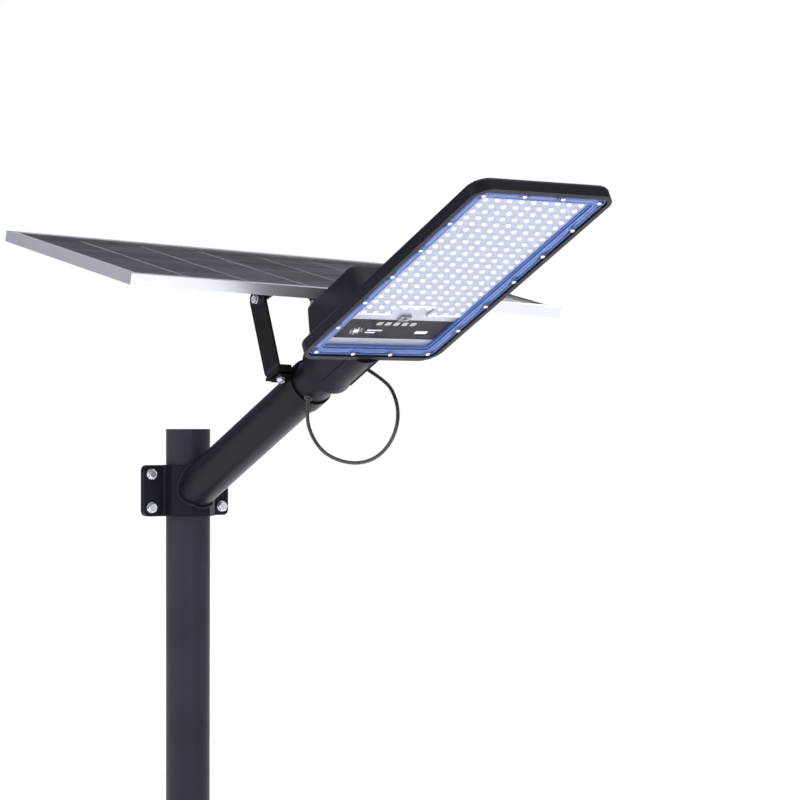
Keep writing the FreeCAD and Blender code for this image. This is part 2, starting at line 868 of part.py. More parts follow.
def head_hollows():
    fit = 2 * d.moving_gap
    corner = d.cover_corner + d.moving_gap
    recess_z = (-d.head_rim - d.overrun, recess_floor)
    yield rounded_plate(d.cover_width + fit, d.cover_length + fit, corner, recess_z)
    cavity_z = (recess_floor - d.overrun, d.head_floor)
    yield rounded_plate(d.window_width, d.window_length, d.window_corner, cavity_z)
    half = d.hatch_half_width
    hatch_z = (d.head_floor - d.overrun, d.head_back + d.overrun)
    yield block((-half, half), (d.hatch_front, d.hatch_rear), hatch_z)
    yield battery_box(d.box_wall, d.head_back, d.box_height - d.box_wall, d.box_round - d.box_wall)
    bore_start = neck_along(d.neck_bore_end)
    bore_length = neck_along(d.neck_mouth) + d.overrun - bore_start
    yield rod(neck_inside, bore_length, (0, bore_start, axis_level), "+Y")
    wire_at = (0, d.box_rear - 4 * d.box_wall, axis_level)
    yield rod(d.wire_hole_diameter / 2, 8 * d.box_wall, wire_at, "+Y")
    for x, y in cover_screw_places():
        depth = d.cover_screw_length + d.snug_gap - recess_floor
        yield rod(d.cover_screw_diameter / 2 + d.snug_gap, depth, (x, y, recess_floor))
    for x, y in board_screw_places():
        hole = d.board_screw_diameter / 2 + d.snug_gap
        yield rod(hole, d.fin_height / 2 + d.overrun, (x, y, d.head_floor))
    for y in neck_bolt_places():
        yield rod(d.neck_bolt_diameter / 2 + d.snug_gap, neck_radius, (0, y, axis_level + arm_radius))


def neck_grommet_hole():
    hole = radial_rod(d.grommet_neck / 2 + d.snug_gap, arm_radius / 2, arm_radius, 0, d.neck_grommet_turn)
    place = spot((0, neck_along(d.neck_grommet_at), axis_level)) + " * " + LOCAL[hole.Name]
    return seat(hole, place)


def make_housing():
    box = battery_box(0, d.head_back, d.box_height, d.box_round)
    solid = merge(shell_outside(), *fins(), *back_bosses(), box, neck_outside())
    node("head_housing", cut(solid, merge(*head_hollows()), neck_grommet_hole()), HEAD)


def make_neck_bolts():
    bolts = []
    seat_level = axis_level + neck_radius + d.neck_pad_height
    tip = axis_level + arm_radius + d.snug_gap
    for y in neck_bolt_places():
        head = rod(d.neck_bolt_head / 2, d.neck_bolt_head_height, (0, y, seat_level))
        socket_at = (0, y, seat_level + d.neck_bolt_socket_floor)
        socket = hexagon(d.neck_bolt_socket, d.neck_bolt_head_height, socket_at)
        shank = rod(d.neck_bolt_diameter / 2, seat_level - tip, (0, y, tip))
        bolts.append(merge(cut(head, socket), shank))
    node("neck_bolts", group(*bolts), HEAD)


def with_screw_holes(plate, z):
    radius = d.cover_screw_diameter / 2 + d.moving_gap
    holes = [rod(radius, size(z[1]) - z[0], (x, y, z[0])) for x, y in cover_screw_places()]
    return cut(plate, *holes)


def make_cover_and_seal():
    cover_z = (0, d.cover_thickness)
    cover = rounded_plate(d.cover_width, d.cover_length, d.cover_corner, cover_z)
    node("lens_cover", with_screw_holes(cover, cover_z), HEAD)
    seal_z = (d.cover_thickness, recess_floor)
    whole = rounded_plate(d.cover_width, d.cover_length, d.cover_corner, seal_z)
    window = rounded_plate(d.window_width, d.window_length, d.window_corner, seal_z)
    node("seal_frame", with_screw_holes(cut(whole, window), seal_z), HEAD)
    screws = []
    radius = d.cover_screw_diameter / 2
    for x, y in cover_screw_places():
        head = rod(d.cover_screw_head / 2, d.cover_screw_head_height, (x, y, 0), "-Z")
        screws.append(screw(radius, d.cover_screw_length, head, (x, y, 0), "+Z"))
    node("cover_screws", group(*screws), HEAD)


def led_places():
    """Column by row; the last row leaves its middle free for the sensor's wiring."""
    last = SIZES["led_rows"] - 1
    middle_column = (SIZES["led_columns"] - 1) / 2
    for row in range(SIZES["led_rows"]):
        for column in range(SIZES["led_columns"]):
            if row == last and abs(column - middle_column) < 2:
                continue
            x = (column - middle_column) * d.led_column_pitch
            yield x, row * d.led_row_pitch - d.led_first_row


def make_led_board():
    board_face = d.head_floor - d.board_thickness
    board_length = d.board_front - d.board_rear
    board_middle = -(d.board_front + d.board_rear) / 2
    board_z = (board_face, d.head_floor)
    board = rounded_plate(d.board_width, board_length, d.board_corner, board_z, board_middle)
    radius = d.board_screw_diameter / 2
    screws, holes = [], []
    for x, y in board_screw_places():
        holes.append(rod(radius + d.moving_gap, d.board_thickness, (x, y, board_face)))
        head = rod(d.board_screw_head / 2, d.board_screw_head_height, (x, y, board_face), "-Z")
        reach = d.board_thickness + d.fin_height / 2
        screws.append(screw(radius, reach, head, (x, y, board_face), "+Z"))
    node("led_board", cut(board, *holes), HEAD)
    node("board_screws", group(*screws), HEAD)

    side = d.led_side / 2
    chip_z = (board_face - d.led_height, board_face)
    chips = [block((x - side, x + side), (y - side, y + side), chip_z) for x, y in led_places()]
    node("led_chips", group(*chips), HEAD)

    half_lens = d.lens_width / 2
    lens_front = d.board_front - d.lens_rim
    y = (-lens_front, -d.lens_rear)
    rim = d.lens_rim
    sheet = block((-half_lens, half_lens), y, (board_face - d.lens_height, board_face))
    room_y = (rim - lens_front, -rim - d.lens_rear)
    room_z = (board_face - d.lens_height + d.lens_thickness, board_face)
    room = block((rim - half_lens, half_lens - rim), room_y, room_z)
    notch_x = d.led_gap_half_width
    notch_y = (-d.lens_rear - d.lens_notch_depth, -d.lens_rear)
    notch = block((-notch_x, notch_x), notch_y, (board_face - d.lens_height, board_face))
    node("lens_sheet", cut(sheet, room, notch), HEAD)

    half_x, half_y = d.sensor_width / 2, d.sensor_length / 2
    sensor_y = (-d.sensor_at - half_y, -d.sensor_at + half_y)
    sensor = block((-half_x, half_x), sensor_y, (board_face - d.sensor_height, board_face))
    node("light_sensor", sensor, HEAD)


def make_label():
    half = d.board_width / 2
    face = d.head_floor - d.label_thickness
    start = d.snug_gap - d.board_rear
    length = -d.label_rear - start
    centre = (start - d.label_rear) / 2
    plate = rounded_plate(d.board_width, length, d.board_corner, (face, d.head_floor), centre)
    node("controller_plate", plate, HEAD)
    band_face = face - d.band_thickness
    node("label_band", block((-half, half), (start, -d.band_rear), (band_face, face)), HEAD)
    side = d.indicator_side / 2
    windows = []
    for index in range(SIZES["indicator_count"]):
        x = (index - (SIZES["indicator_count"] - 1) / 2) * d.indicator_pitch
        y = -d.indicator_at
        z = (band_face - d.indicator_height, band_face)
        windows.append(block((x - side, x + side), (y - side, y + side), z))
    node("charge_indicators", group(*windows), HEAD)


def make_controller():
    half = d.controller_width / 2
    y = (d.controller_front, d.controller_rear)
    top = d.controller_level + d.controller_thickness
    board = block((-half, half), y, (d.controller_level, top))
    post_length = d.controller_level - d.head_floor
    inset = d.controller_post_inset
    posts = []
    for side in SIDES.values():
        for along in (y[0] + inset, y[1] - inset):
            foot = (side * (half - inset), along, d.head_floor)
            posts.append(rod(d.controller_post_radius, post_length, foot))
    margin = d.controller_margin
    chip_y = (y[0] + margin, y[0] + margin + d.controller_chip)
    chip = block((-half / 2, 0), chip_y, (top, top + d.controller_chip_height))
    coil_at = (half / 2, y[0] + 2 * margin, top)
    coil = rod(d.controller_coil / 2, d.controller_coil_height, coil_at)
    plug = block((-half / 2, half / 2), (y[1] - margin, y[1]), (top, top + d.controller_coil_height))
    node("charge_controller", merge(board, *posts, chip, coil, plug), HEAD)


def make_battery():
    radius = d.cell_diameter / 2
    level = d.holder_level + d.holder_thickness + radius
    cells = []
    for row in range(SIZES["cell_row_count"]):
        y = d.cell_first + row * d.cell_pitch
        for start in (-d.cell_length - d.cell_end_gap, d.cell_end_gap):
            cells.append(rod(radius, d.cell_length, (start, y, level), "+X"))
    node("battery_cells", group(*cells), HEAD)
    span = (SIZES["cell_row_count"] - 1) * d.cell_pitch
    y = (d.cell_first - radius, d.cell_first + span + radius)
    holder_top = d.holder_level + d.holder_thickness
    rise = (holder_top - d.head_back) / (d.box_height - d.box_wall - d.head_back)
    half = d.box_width / 2 - d.box_wall - rise * d.box_side_draft - d.moving_gap
    node("battery_holder", block((-half, half), y, (d.holder_level, holder_top)), HEAD)
    pad_z = (d.box_height - d.box_wall - d.battery_pad, d.box_height - d.box_wall)
    node("battery_pad", block((-d.cell_length, d.cell_length), y, pad_z), HEAD)


make_housing()
make_neck_bolts()
make_cover_and_seal()
make_led_board()
make_label()
make_controller()
make_battery()

# ---------------------------------------------------------------- panel bracket on the arm
# Its frame: x across, y back along the arm, z straight out of the arm's top side.

saddle_inside = arm_radius + d.moving_gap
ear_top = d.ear_level + d.saddle_plate
foot_top = ear_top + d.leg_plate
strap_top = d.ear_level - d.strap_gap
strap_bottom = strap_top - d.strap_plate
leg_inside = d.leg_outside - d.leg_plate


def wrapped_plate(plate, length, ear, low, high, kept):
    """A plate bent over the arm, with a flat ear on each side."""
    half = length / 2
    arch = rod(saddle_inside + plate, length, (0, -half, 0), "+Y")
    ears = block((-ear, ear), (-half, half), (low, high))
    inside = rod(saddle_inside, length, (0, -half, 0), "+Y")
    reach = 2 * d.arm_diameter
    other = block((-reach, reach), (-half, half), kept)
    hole = d.bracket_bolt_diameter / 2 + d.drill_gap
    holes = [rod(hole, high - low, (side * d.bracket_bolt_x, 0, low)) for side in SIDES.values()]
    return cut(merge(arch, ears), merge(inside, other), *holes)


def leg(side):
    """A bent plate: its foot on the saddle's ear, its upright leaning to the hinge."""
    half = d.saddle_length / 2
    hinge_y, hinge_z = -d.hinge_lean, d.hinge_height
    outline = [
        (side * d.foot_inside, ear_top),
        (side * d.leg_outside, ear_top),
        (side * d.leg_outside, hinge_z + 2 * half),
        (side * leg_inside, hinge_z + 2 * half),
        (side * leg_inside, foot_top),
        (side * d.foot_inside, foot_top),
    ]
    bent = profile(outline, 4 * half, (0, 2 * half, 0), PROFILE_IN_XZ)

    def outer_bend(edge):
        centre = middle(edge)
        return along_z(edge) and near(abs(centre.x), d.leg_outside) and near(centre.y, ear_top)

    round_edges(bent, d.leg_bend, outer_bend)
    sides = [(-half, ear_top), (half, ear_top), (hinge_y + half, hinge_z), (hinge_y - half, hinge_z)]
    start = -2 * d.leg_outside
    upright = profile(sides, 4 * d.leg_outside, (start, 0, 0), PROFILE_IN_YZ)
    top = rod(half, 4 * d.leg_outside, (start, hinge_y, hinge_z), "+X")
    hinge = rod(d.hinge_bolt_diameter / 2 + d.snug_gap, 4 * d.leg_outside, (start, hinge_y, hinge_z), "+X")
    hole = d.bracket_bolt_diameter / 2 + d.drill_gap
    foot_hole = rod(hole, d.leg_plate, (side * d.bracket_bolt_x, 0, ear_top))
    return cut(shared(bent, merge(upright, top)), hinge, foot_hole)


def make_bracket():
    reach = 2 * d.arm_diameter
    saddle = wrapped_plate(
        d.saddle_plate, d.saddle_length, d.leg_outside, d.ear_level, ear_top, (-reach, d.ear_level))
    node("bracket_saddle", saddle, BRACKET)
    strap = wrapped_plate(
        d.strap_plate, d.strap_length, d.strap_ear, strap_bottom, strap_top, (strap_top, reach))
    node("bracket_strap", strap, BRACKET)
    for name, side in SIDES.items():
        node(f"bracket_leg_{name}", leg(side), BRACKET)

    radius = d.bracket_bolt_diameter / 2
    hole = radius + d.snug_gap
    washer = d.bracket_washer_diameter / 2
    low_washer = strap_bottom - d.bracket_washer_thickness
    nut_at = foot_top + d.bracket_washer_thickness
    reach = nut_at + d.bracket_nut_height + d.bolt_tip - low_washer
    bolts, nuts, washers = [], [], []
    for side in SIDES.values():
        x = side * d.bracket_bolt_x
        head = hexagon(d.bracket_bolt_head, d.bracket_bolt_head_height, (x, 0, low_washer), "-Z")
        bolts.append(screw(radius, reach, head, (x, 0, low_washer), "+Z"))
        nut = hexagon(d.bracket_bolt_head, d.bracket_nut_height, (x, 0, nut_at))
        nuts.append(cut(nut, rod(hole, d.bracket_nut_height, (x, 0, nut_at))))
        for level in (low_washer, foot_top):
            washers.append(ring(washer, hole, d.bracket_washer_thickness, (x, 0, level)))
    node("bracket_bolts", group(*bolts), BRACKET)
    node("bracket_nuts", group(*nuts), BRACKET)
    node("bracket_washers", group(*washers), BRACKET)


make_bracket()

# ---------------------------------------------------------------- solar panel
# Its frame: the hinge axis is x, y points back and up the slope, z is square to the glass.

panel_top = d.panel_rise + d.panel_depth
half_panel_length = d.panel_length / 2
half_panel_width = d.panel_width / 2
slot_top = panel_top - d.frame_lip_thickness
glass_top = slot_top - d.laminate_gap
glass_bottom = glass_top - d.glass_thickness
cells_bottom = glass_bottom - d.cell_sheet
sheet_bottom = cells_bottom - d.backsheet
shelf_top = sheet_bottom - d.laminate_gap


def frame_side(half_run, half_across):
    """One extrusion along x, at -y, with both ends mitred."""
    edge = -half_across
    low = d.panel_rise
    section = [
        (edge, low),
        (edge + d.frame_foot, low),
        (edge + d.frame_foot, low + d.frame_wall),
        (edge + d.frame_wall, low + d.frame_wall),
        (edge + d.frame_wall, shelf_top - d.frame_shelf_thickness),
        (edge + d.frame_shelf, shelf_top - d.frame_shelf_thickness),
        (edge + d.frame_shelf, shelf_top),
        (edge + d.frame_wall, shelf_top),
        (edge + d.frame_wall, slot_top),
        (edge + d.frame_lip, slot_top),
        (edge + d.frame_lip, panel_top),
        (edge, panel_top),
    ]
    bar = profile(section, 2 * half_run, (-half_run, 0, 0), PROFILE_IN_YZ)
    mitres = []
    reach = 2 * d.frame_foot
    z = (low - d.overrun, panel_top + d.overrun)
    for side in SIDES.values():
        tool = block((0, 2 * reach), (-reach, reach), z)
        turned = spot((side * half_run, edge, 0), (ABOUT_Z, 90 - side * 45))
        mitres.append(seat(tool, turned + " * " + LOCAL[tool.Name]))
    return cut(bar, *mitres)


def make_panel_frame():
    sides = [
        ("front", 0, half_panel_length, half_panel_width),
        ("right", 90, half_panel_width, half_panel_length),
        ("rear", 180, half_panel_length, half_panel_width),
        ("left", 270, half_panel_width, half_panel_length),
    ]
    for name, angle, half_run, half_across in sides:
        turned = PANEL + " * " + spot((0, d.panel_setback, 0), (ABOUT_Z, angle))
        node(f"panel_frame_{name}", frame_side(half_run, half_across), turned)


def centred(half_x, half_y, z):
    """A sheet centred on the panel."""
    return block((-half_x, half_x), (d.panel_setback - half_y, d.panel_setback + half_y), z)


def make_laminate():
    edge = d.frame_wall + d.laminate_gap
    half_x, half_y = half_panel_length - edge, half_panel_width - edge
    node("panel_glass", centred(half_x, half_y, (glass_bottom, glass_top)), PANEL)
    node("panel_backsheet", centred(half_x, half_y, (sheet_bottom, cells_bottom)), PANEL)
    columns, rows = SIZES["solar_columns"], SIZES["solar_rows"]
    pitch_x = (d.panel_length - 2 * d.solar_margin + d.solar_gap) / columns
    pitch_y = (d.panel_width - 2 * d.solar_margin + d.solar_gap) / rows
    cells = []
    for column in range(columns):
        for row in range(rows):
            x = (column - columns / 2) * pitch_x + d.solar_gap / 2
            y = d.panel_setback + (row - rows / 2) * pitch_y + d.solar_gap / 2
            x_range = (x, x + pitch_x - d.solar_gap)
            y_range = (y, y + pitch_y - d.solar_gap)
            cells.append(block(x_range, y_range, (cells_bottom, glass_bottom)))
    node("solar_cells", group(*cells), PANEL)


def make_corner_keys():
    """Angle pieces that join the extrusions inside their corners."""
    z = (d.panel_rise + d.frame_wall, shelf_top - d.frame_shelf_thickness)
    keys = []
    for side in SIDES.values():
        for end in (-1, 1):
            x = side * (half_panel_length - d.frame_wall)
            y = d.panel_setback + end * (half_panel_width - d.frame_wall)
            leg_x, leg_y = -side * d.corner_key_leg, -end * d.corner_key_leg
            thin_x, thin_y = -side * d.corner_key_thickness, -end * d.corner_key_thickness
            one = block(ordered(x, x + leg_x), ordered(y, y + thin_y), z)
            two = block(ordered(x, x + thin_x), ordered(y, y + leg_y), z)
            keys.append(merge(one, two))
    node("panel_corner_keys", group(*keys), PANEL)


def make_junction_box():
    top = sheet_bottom
    bottom = top - d.junction_depth
    half_x, half_y = d.junction_width / 2, d.junction_length / 2
    wall = d.junction_wall
    outside = centred(half_x, half_y, (bottom, top))
    room = centred(half_x - wall, half_y - wall, (bottom, top - wall))
    gland_level = (top + bottom) / 2
    side_at = d.panel_setback - half_y
    outlet = rod(d.cable_diameter / 2, 2 * wall, (0, side_at + 1.5 * wall, gland_level), "-Y")
    node("junction_box", cut(outside, room, outlet), PANEL)
    node("junction_lid", centred(half_x, half_y, (bottom - wall, bottom)), PANEL)
    gland = taper(d.gland_diameter / 2, d.gland_diameter / 3, d.gland_length, (0, side_at, gland_level), "-Y")
    bore = rod(d.cable_diameter / 2, d.gland_length, (0, side_at, gland_level), "-Y")
    node("lead_gland", cut(gland, bore), PANEL)


rail_outside = leg_inside - d.moving_gap
rail_inside = rail_outside - d.rail_plate
rail_screw_y = half_panel_width - d.frame_foot / 2 - d.frame_wall


def rail(side):
    """A strap under the panel from front to back, with an ear down to the hinge."""
    reach = rail_inside + d.rail_flange
    x = ordered(side * rail_inside, side * reach)
    half = half_panel_width - d.frame_wall - d.moving_gap
    low = d.panel_rise - d.rail_plate
    y = (d.panel_setback - half, d.panel_setback + half)
    strap = block(x, y, (low, d.panel_rise))
    lobe = d.hinge_lobe
    web = [(-d.rail_gusset_front, d.panel_rise), (-lobe, 0), (lobe, 0), (d.rail_gusset_rear, d.panel_rise)]
    first = ordered(side * rail_inside, side * rail_outside)[0]
    ear = profile(web, d.rail_plate, (first, 0, 0), PROFILE_IN_YZ)
    end = rod(lobe, d.rail_plate, (first, 0, 0), "+X")
    hole = rod(d.hinge_bolt_diameter / 2 + d.snug_gap, d.rail_plate, (first, 0, 0), "+X")
    hole_x = side * (rail_outside + reach) / 2
    radius = d.rail_screw_diameter / 2 + d.moving_gap
    holes = []
    for end_side in (-1, 1):
        at = (hole_x, d.panel_setback + end_side * rail_screw_y, low)
        holes.append(rod(radius, d.rail_plate, at))
    return cut(merge(strap, ear, end), hole, *holes)


def make_rails():
    for name, side in SIDES.items():
        node(f"panel_rail_{name}", rail(side), PANEL)
    reach = rail_inside + d.rail_flange
    low = d.panel_rise - d.rail_plate
    screws = []
    for side in SIDES.values():
        for end in (-1, 1):
            x = side * (rail_outside + reach) / 2
            y = d.panel_setback + end * rail_screw_y
            head = rod(d.rail_screw_head / 2, d.rail_screw_head_height, (x, y, low), "-Z")
            shank = rod(d.rail_screw_diameter / 2, d.rail_plate - d.snug_gap, (x, y, low))
            screws.append(merge(head, shank))
    node("rail_screws", group(*screws), PANEL)


def make_hinge():
    radius = d.hinge_bolt_diameter / 2
    hole = radius + d.snug_gap
    washer = d.bracket_washer_diameter / 2
    thick = d.bracket_washer_thickness
    outer = d.leg_outside + d.moving_gap
    reach = outer + thick + d.bolt_tip + d.bracket_nut_height - rail_inside + thick
    bolts, nuts, washers = [], [], []
    for name, side in SIDES.items():
        inward = "+X" if side < 0 else "-X"
        head_at = side * (outer + thick + d.bracket_bolt_head_height)
        head = hexagon(d.bracket_bolt_head, d.bracket_bolt_head_height, (head_at, 0, 0), inward)
        bolts.append(screw(radius, reach, head, (side * (outer + thick), 0, 0), inward))
        nut_at = (side * (rail_inside - thick), 0, 0)
        nut = hexagon(d.bracket_bolt_head, d.bracket_nut_height, nut_at, inward)
        nuts.append(cut(nut, rod(hole, d.bracket_nut_height, nut_at, inward)))
        for start in (outer + thick, rail_inside):
            washers.append(ring(washer, hole, thick, (side * start, 0, 0), inward))
    node("hinge_bolts", group(*bolts), PANEL)
    node("hinge_nuts", group(*nuts), PANEL)
    node("hinge_washers", group(*washers), PANEL)


make_panel_frame()
make_laminate()
make_corner_keys()
make_junction_box()
make_rails()
make_hinge()

# ---------------------------------------------------------------- cable loop under the arm
# The free lead between the arm's grommet and the neck's grommet; its points are in the arm's frame.

LOOP_POINTS = [
    (-20.5, -355.2, -50.6),
    (-15.0, -348.0, -76.1),
    (-8.0, -354.2, -103.8),
    (-1.0, -375.8, -127.6),
    (5.5, -403.9, -145.1),
    (11.0, -433.6, -152.8),
    (16.0, -461.1, -149.3),
    (21.0, -482.4, -134.9),
    (27.0, -491.0, -112.3),
    (33.5, -486.2, -84.1),
    (41.0, -468.8, -54.1),
]


ARC_SHARE = 0.45
VOLUME_TOLERANCE = 0.01


def from_arm(local):
    """The row-frame point of a point in the arm's frame."""
    slope = FreeCAD.Rotation(FreeCAD.Vector(*ABOUT_X), -SIZES["arm_angle"])
    return slope.multVec(FreeCAD.Vector(*local)) + FreeCAD.Vector(0, 0, SIZES["arm_height"])


def on_arm(at, turn, out):
    """The row-frame point at a distance out from the arm's axis, under a radial turn."""
    around = FreeCAD.Rotation(FreeCAD.Vector(*ABOUT_Y), turn)
    return from_arm(FreeCAD.Vector(0, -at, 0) + around.multVec(FreeCAD.Vector(0, 0, out)))


def rounded_route(points):
    """Straight runs joined by tangent arcs, each as large as its two runs allow."""
    edges, radii = [], []
    start = points[0]
    for before, corner, after in zip(points, points[1:], points[2:]):
        back, ahead = before - corner, after - corner
        shorter = min(back.Length, ahead.Length)
        half_turn = (math.pi - back.getAngle(ahead)) / 2
        trim = ARC_SHARE * shorter
        radii.append(trim / math.tan(half_turn))
        inward = back.normalize() + ahead.normalize()
        first, last = corner + back * trim, corner + ahead * trim
        to_centre = radii[-1] / math.cos(half_turn)
        waist = corner + inward.normalize() * (to_centre - radii[-1])
        edges.append(Part.LineSegment(start, first).toShape())
        edges.append(Part.Arc(first, waist, last).toShape())
        start = last
    edges.append(Part.LineSegment(start, points[-1]).toShape())
    return Part.Wire(edges), radii


def make_cable():
    flange = SIZES["grommet_proud"]
    start_out = SIZES["arm_diameter"] / 2 + flange
    end_out = SIZES["neck_diameter"] / 2 + flange
    start = on_arm(SIZES["loop_grommet_at"], SIZES["loop_grommet_turn"], start_out)
    end = on_arm(SIZES["neck_grommet_at"], SIZES["neck_grommet_turn"], end_out)
    points = [start] + [from_arm(point) for point in LOOP_POINTS] + [end]
    route, radii = rounded_route(points)
    radius = SIZES["cable_diameter"] / 2
    direction = (points[1] - points[0]).normalize()
    section = Part.Wire([Part.Circle(start, direction, radius).toShape()])
    tube = route.makePipeShell([section], True, False)
    expected = math.pi * radius ** 2 * route.Length
    if abs(tube.Volume / expected - 1) > VOLUME_TOLERANCE:
        raise ValueError(f"cable volume {tube.Volume:.0f} against {expected:.0f}")
    piece = DOC.addObject("Part::Feature", "loop_cable")
    piece.Shape = tube
    piece.Label = "loop_cable"
    NODES.append(piece)
    print("cable length", round(route.Length, 1), "radii", [round(value, 1) for value in radii])


make_cable()

# ---------------------------------------------------------------- checks and files

DOC.recompute()
for item in DOC.Objects:
    if "Invalid" in item.State or "Error" in item.State:
        raise ValueError(f"{item.Label} ({item.Name}) failed: {item.State}")
for item in NODES:
    if item.Shape.isNull() or not item.Shape.isValid() or not item.Shape.Solids:
        raise ValueError(f"{item.Label} has no valid solid")
for item in NODES:
    item.Shape.exportStep(f"parts/{item.Label}.step")
print(len(NODES), "sub-parts written")
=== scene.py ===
import json
import math
import random

import bmesh
import bpy
from mathutils import Matrix, Vector


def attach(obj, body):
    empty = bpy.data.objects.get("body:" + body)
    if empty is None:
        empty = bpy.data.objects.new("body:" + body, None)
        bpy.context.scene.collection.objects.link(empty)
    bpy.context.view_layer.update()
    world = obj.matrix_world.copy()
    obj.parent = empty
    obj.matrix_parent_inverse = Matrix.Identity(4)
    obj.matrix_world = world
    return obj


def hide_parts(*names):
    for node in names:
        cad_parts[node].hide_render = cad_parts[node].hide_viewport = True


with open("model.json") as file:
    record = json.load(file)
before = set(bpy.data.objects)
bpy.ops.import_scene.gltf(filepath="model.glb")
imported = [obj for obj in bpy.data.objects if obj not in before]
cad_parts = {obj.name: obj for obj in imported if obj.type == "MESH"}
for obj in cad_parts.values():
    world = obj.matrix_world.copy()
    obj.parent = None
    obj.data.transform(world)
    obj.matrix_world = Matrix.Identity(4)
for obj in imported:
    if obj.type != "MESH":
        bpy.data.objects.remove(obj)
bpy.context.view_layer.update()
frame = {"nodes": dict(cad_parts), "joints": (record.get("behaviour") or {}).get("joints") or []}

MM = 0.001
random.seed(7)

# ------------------------------------------------------------ frames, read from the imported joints

JOINTS = {joint["name"]: joint for joint in frame["joints"]}
NODES = frame["nodes"]


def axes(x, y, origin):
    """A frame from its x and y directions and its origin."""
    x, y = Vector(x).normalized(), Vector(y).normalized()
    z = x.cross(y)
    matrix = Matrix((x, y, z)).transposed().to_4x4()
    matrix.translation = Vector(origin)
    return matrix


ARM_BACK = Vector(JOINTS["bracket_roll"]["axis"]).normalized()
ROLL_AT = Vector(JOINTS["bracket_roll"]["pos_m"])
TILT_AT = Vector(JOINTS["panel_tilt"]["pos_m"])
TILT_AXIS = Vector(JOINTS["panel_tilt"]["axis"]).normalized()
BRACKET_FROM_POLE = 348 * MM
HEAD_FROM_POLE = 708 * MM
FACE_DROP = 31.3 * MM
PANEL_SLOPE = math.radians(38.85)

ARM = axes((1, 0, 0), ARM_BACK, ROLL_AT + ARM_BACK * BRACKET_FROM_POLE)
HEAD = ARM @ Matrix.Translation((0, -HEAD_FROM_POLE, -FACE_DROP))
BRACKET = axes(TILT_AXIS, ARM_BACK, ROLL_AT)
PANEL = axes(TILT_AXIS, ARM_BACK, TILT_AT) @ Matrix.Rotation(PANEL_SLOPE, 4, "X")
CLAMP = Matrix.Translation((0, 0, 509.6 * MM))

# ------------------------------------------------------------ camera

CAMERA_AT = Vector((-2.0783, -3.3649, 0.6036))
VIEW_PITCH = math.radians(0.57)
VIEW = Vector((0.5911 * math.cos(VIEW_PITCH), 0.8066 * math.cos(VIEW_PITCH), math.sin(VIEW_PITCH)))
camera_data = bpy.data.cameras.new("camera")
camera_data.lens = 120.24
camera_data.sensor_width = 36
camera_data.clip_end = 60
camera = bpy.data.objects.new("camera", camera_data)
camera.location = CAMERA_AT
camera.rotation_euler = VIEW.to_track_quat("-Z", "Y").to_euler()
bpy.context.scene.collection.objects.link(camera)
bpy.context.scene.camera = camera
bpy.context.scene.view_settings.view_transform = "Standard"

# ------------------------------------------------------------ node materials


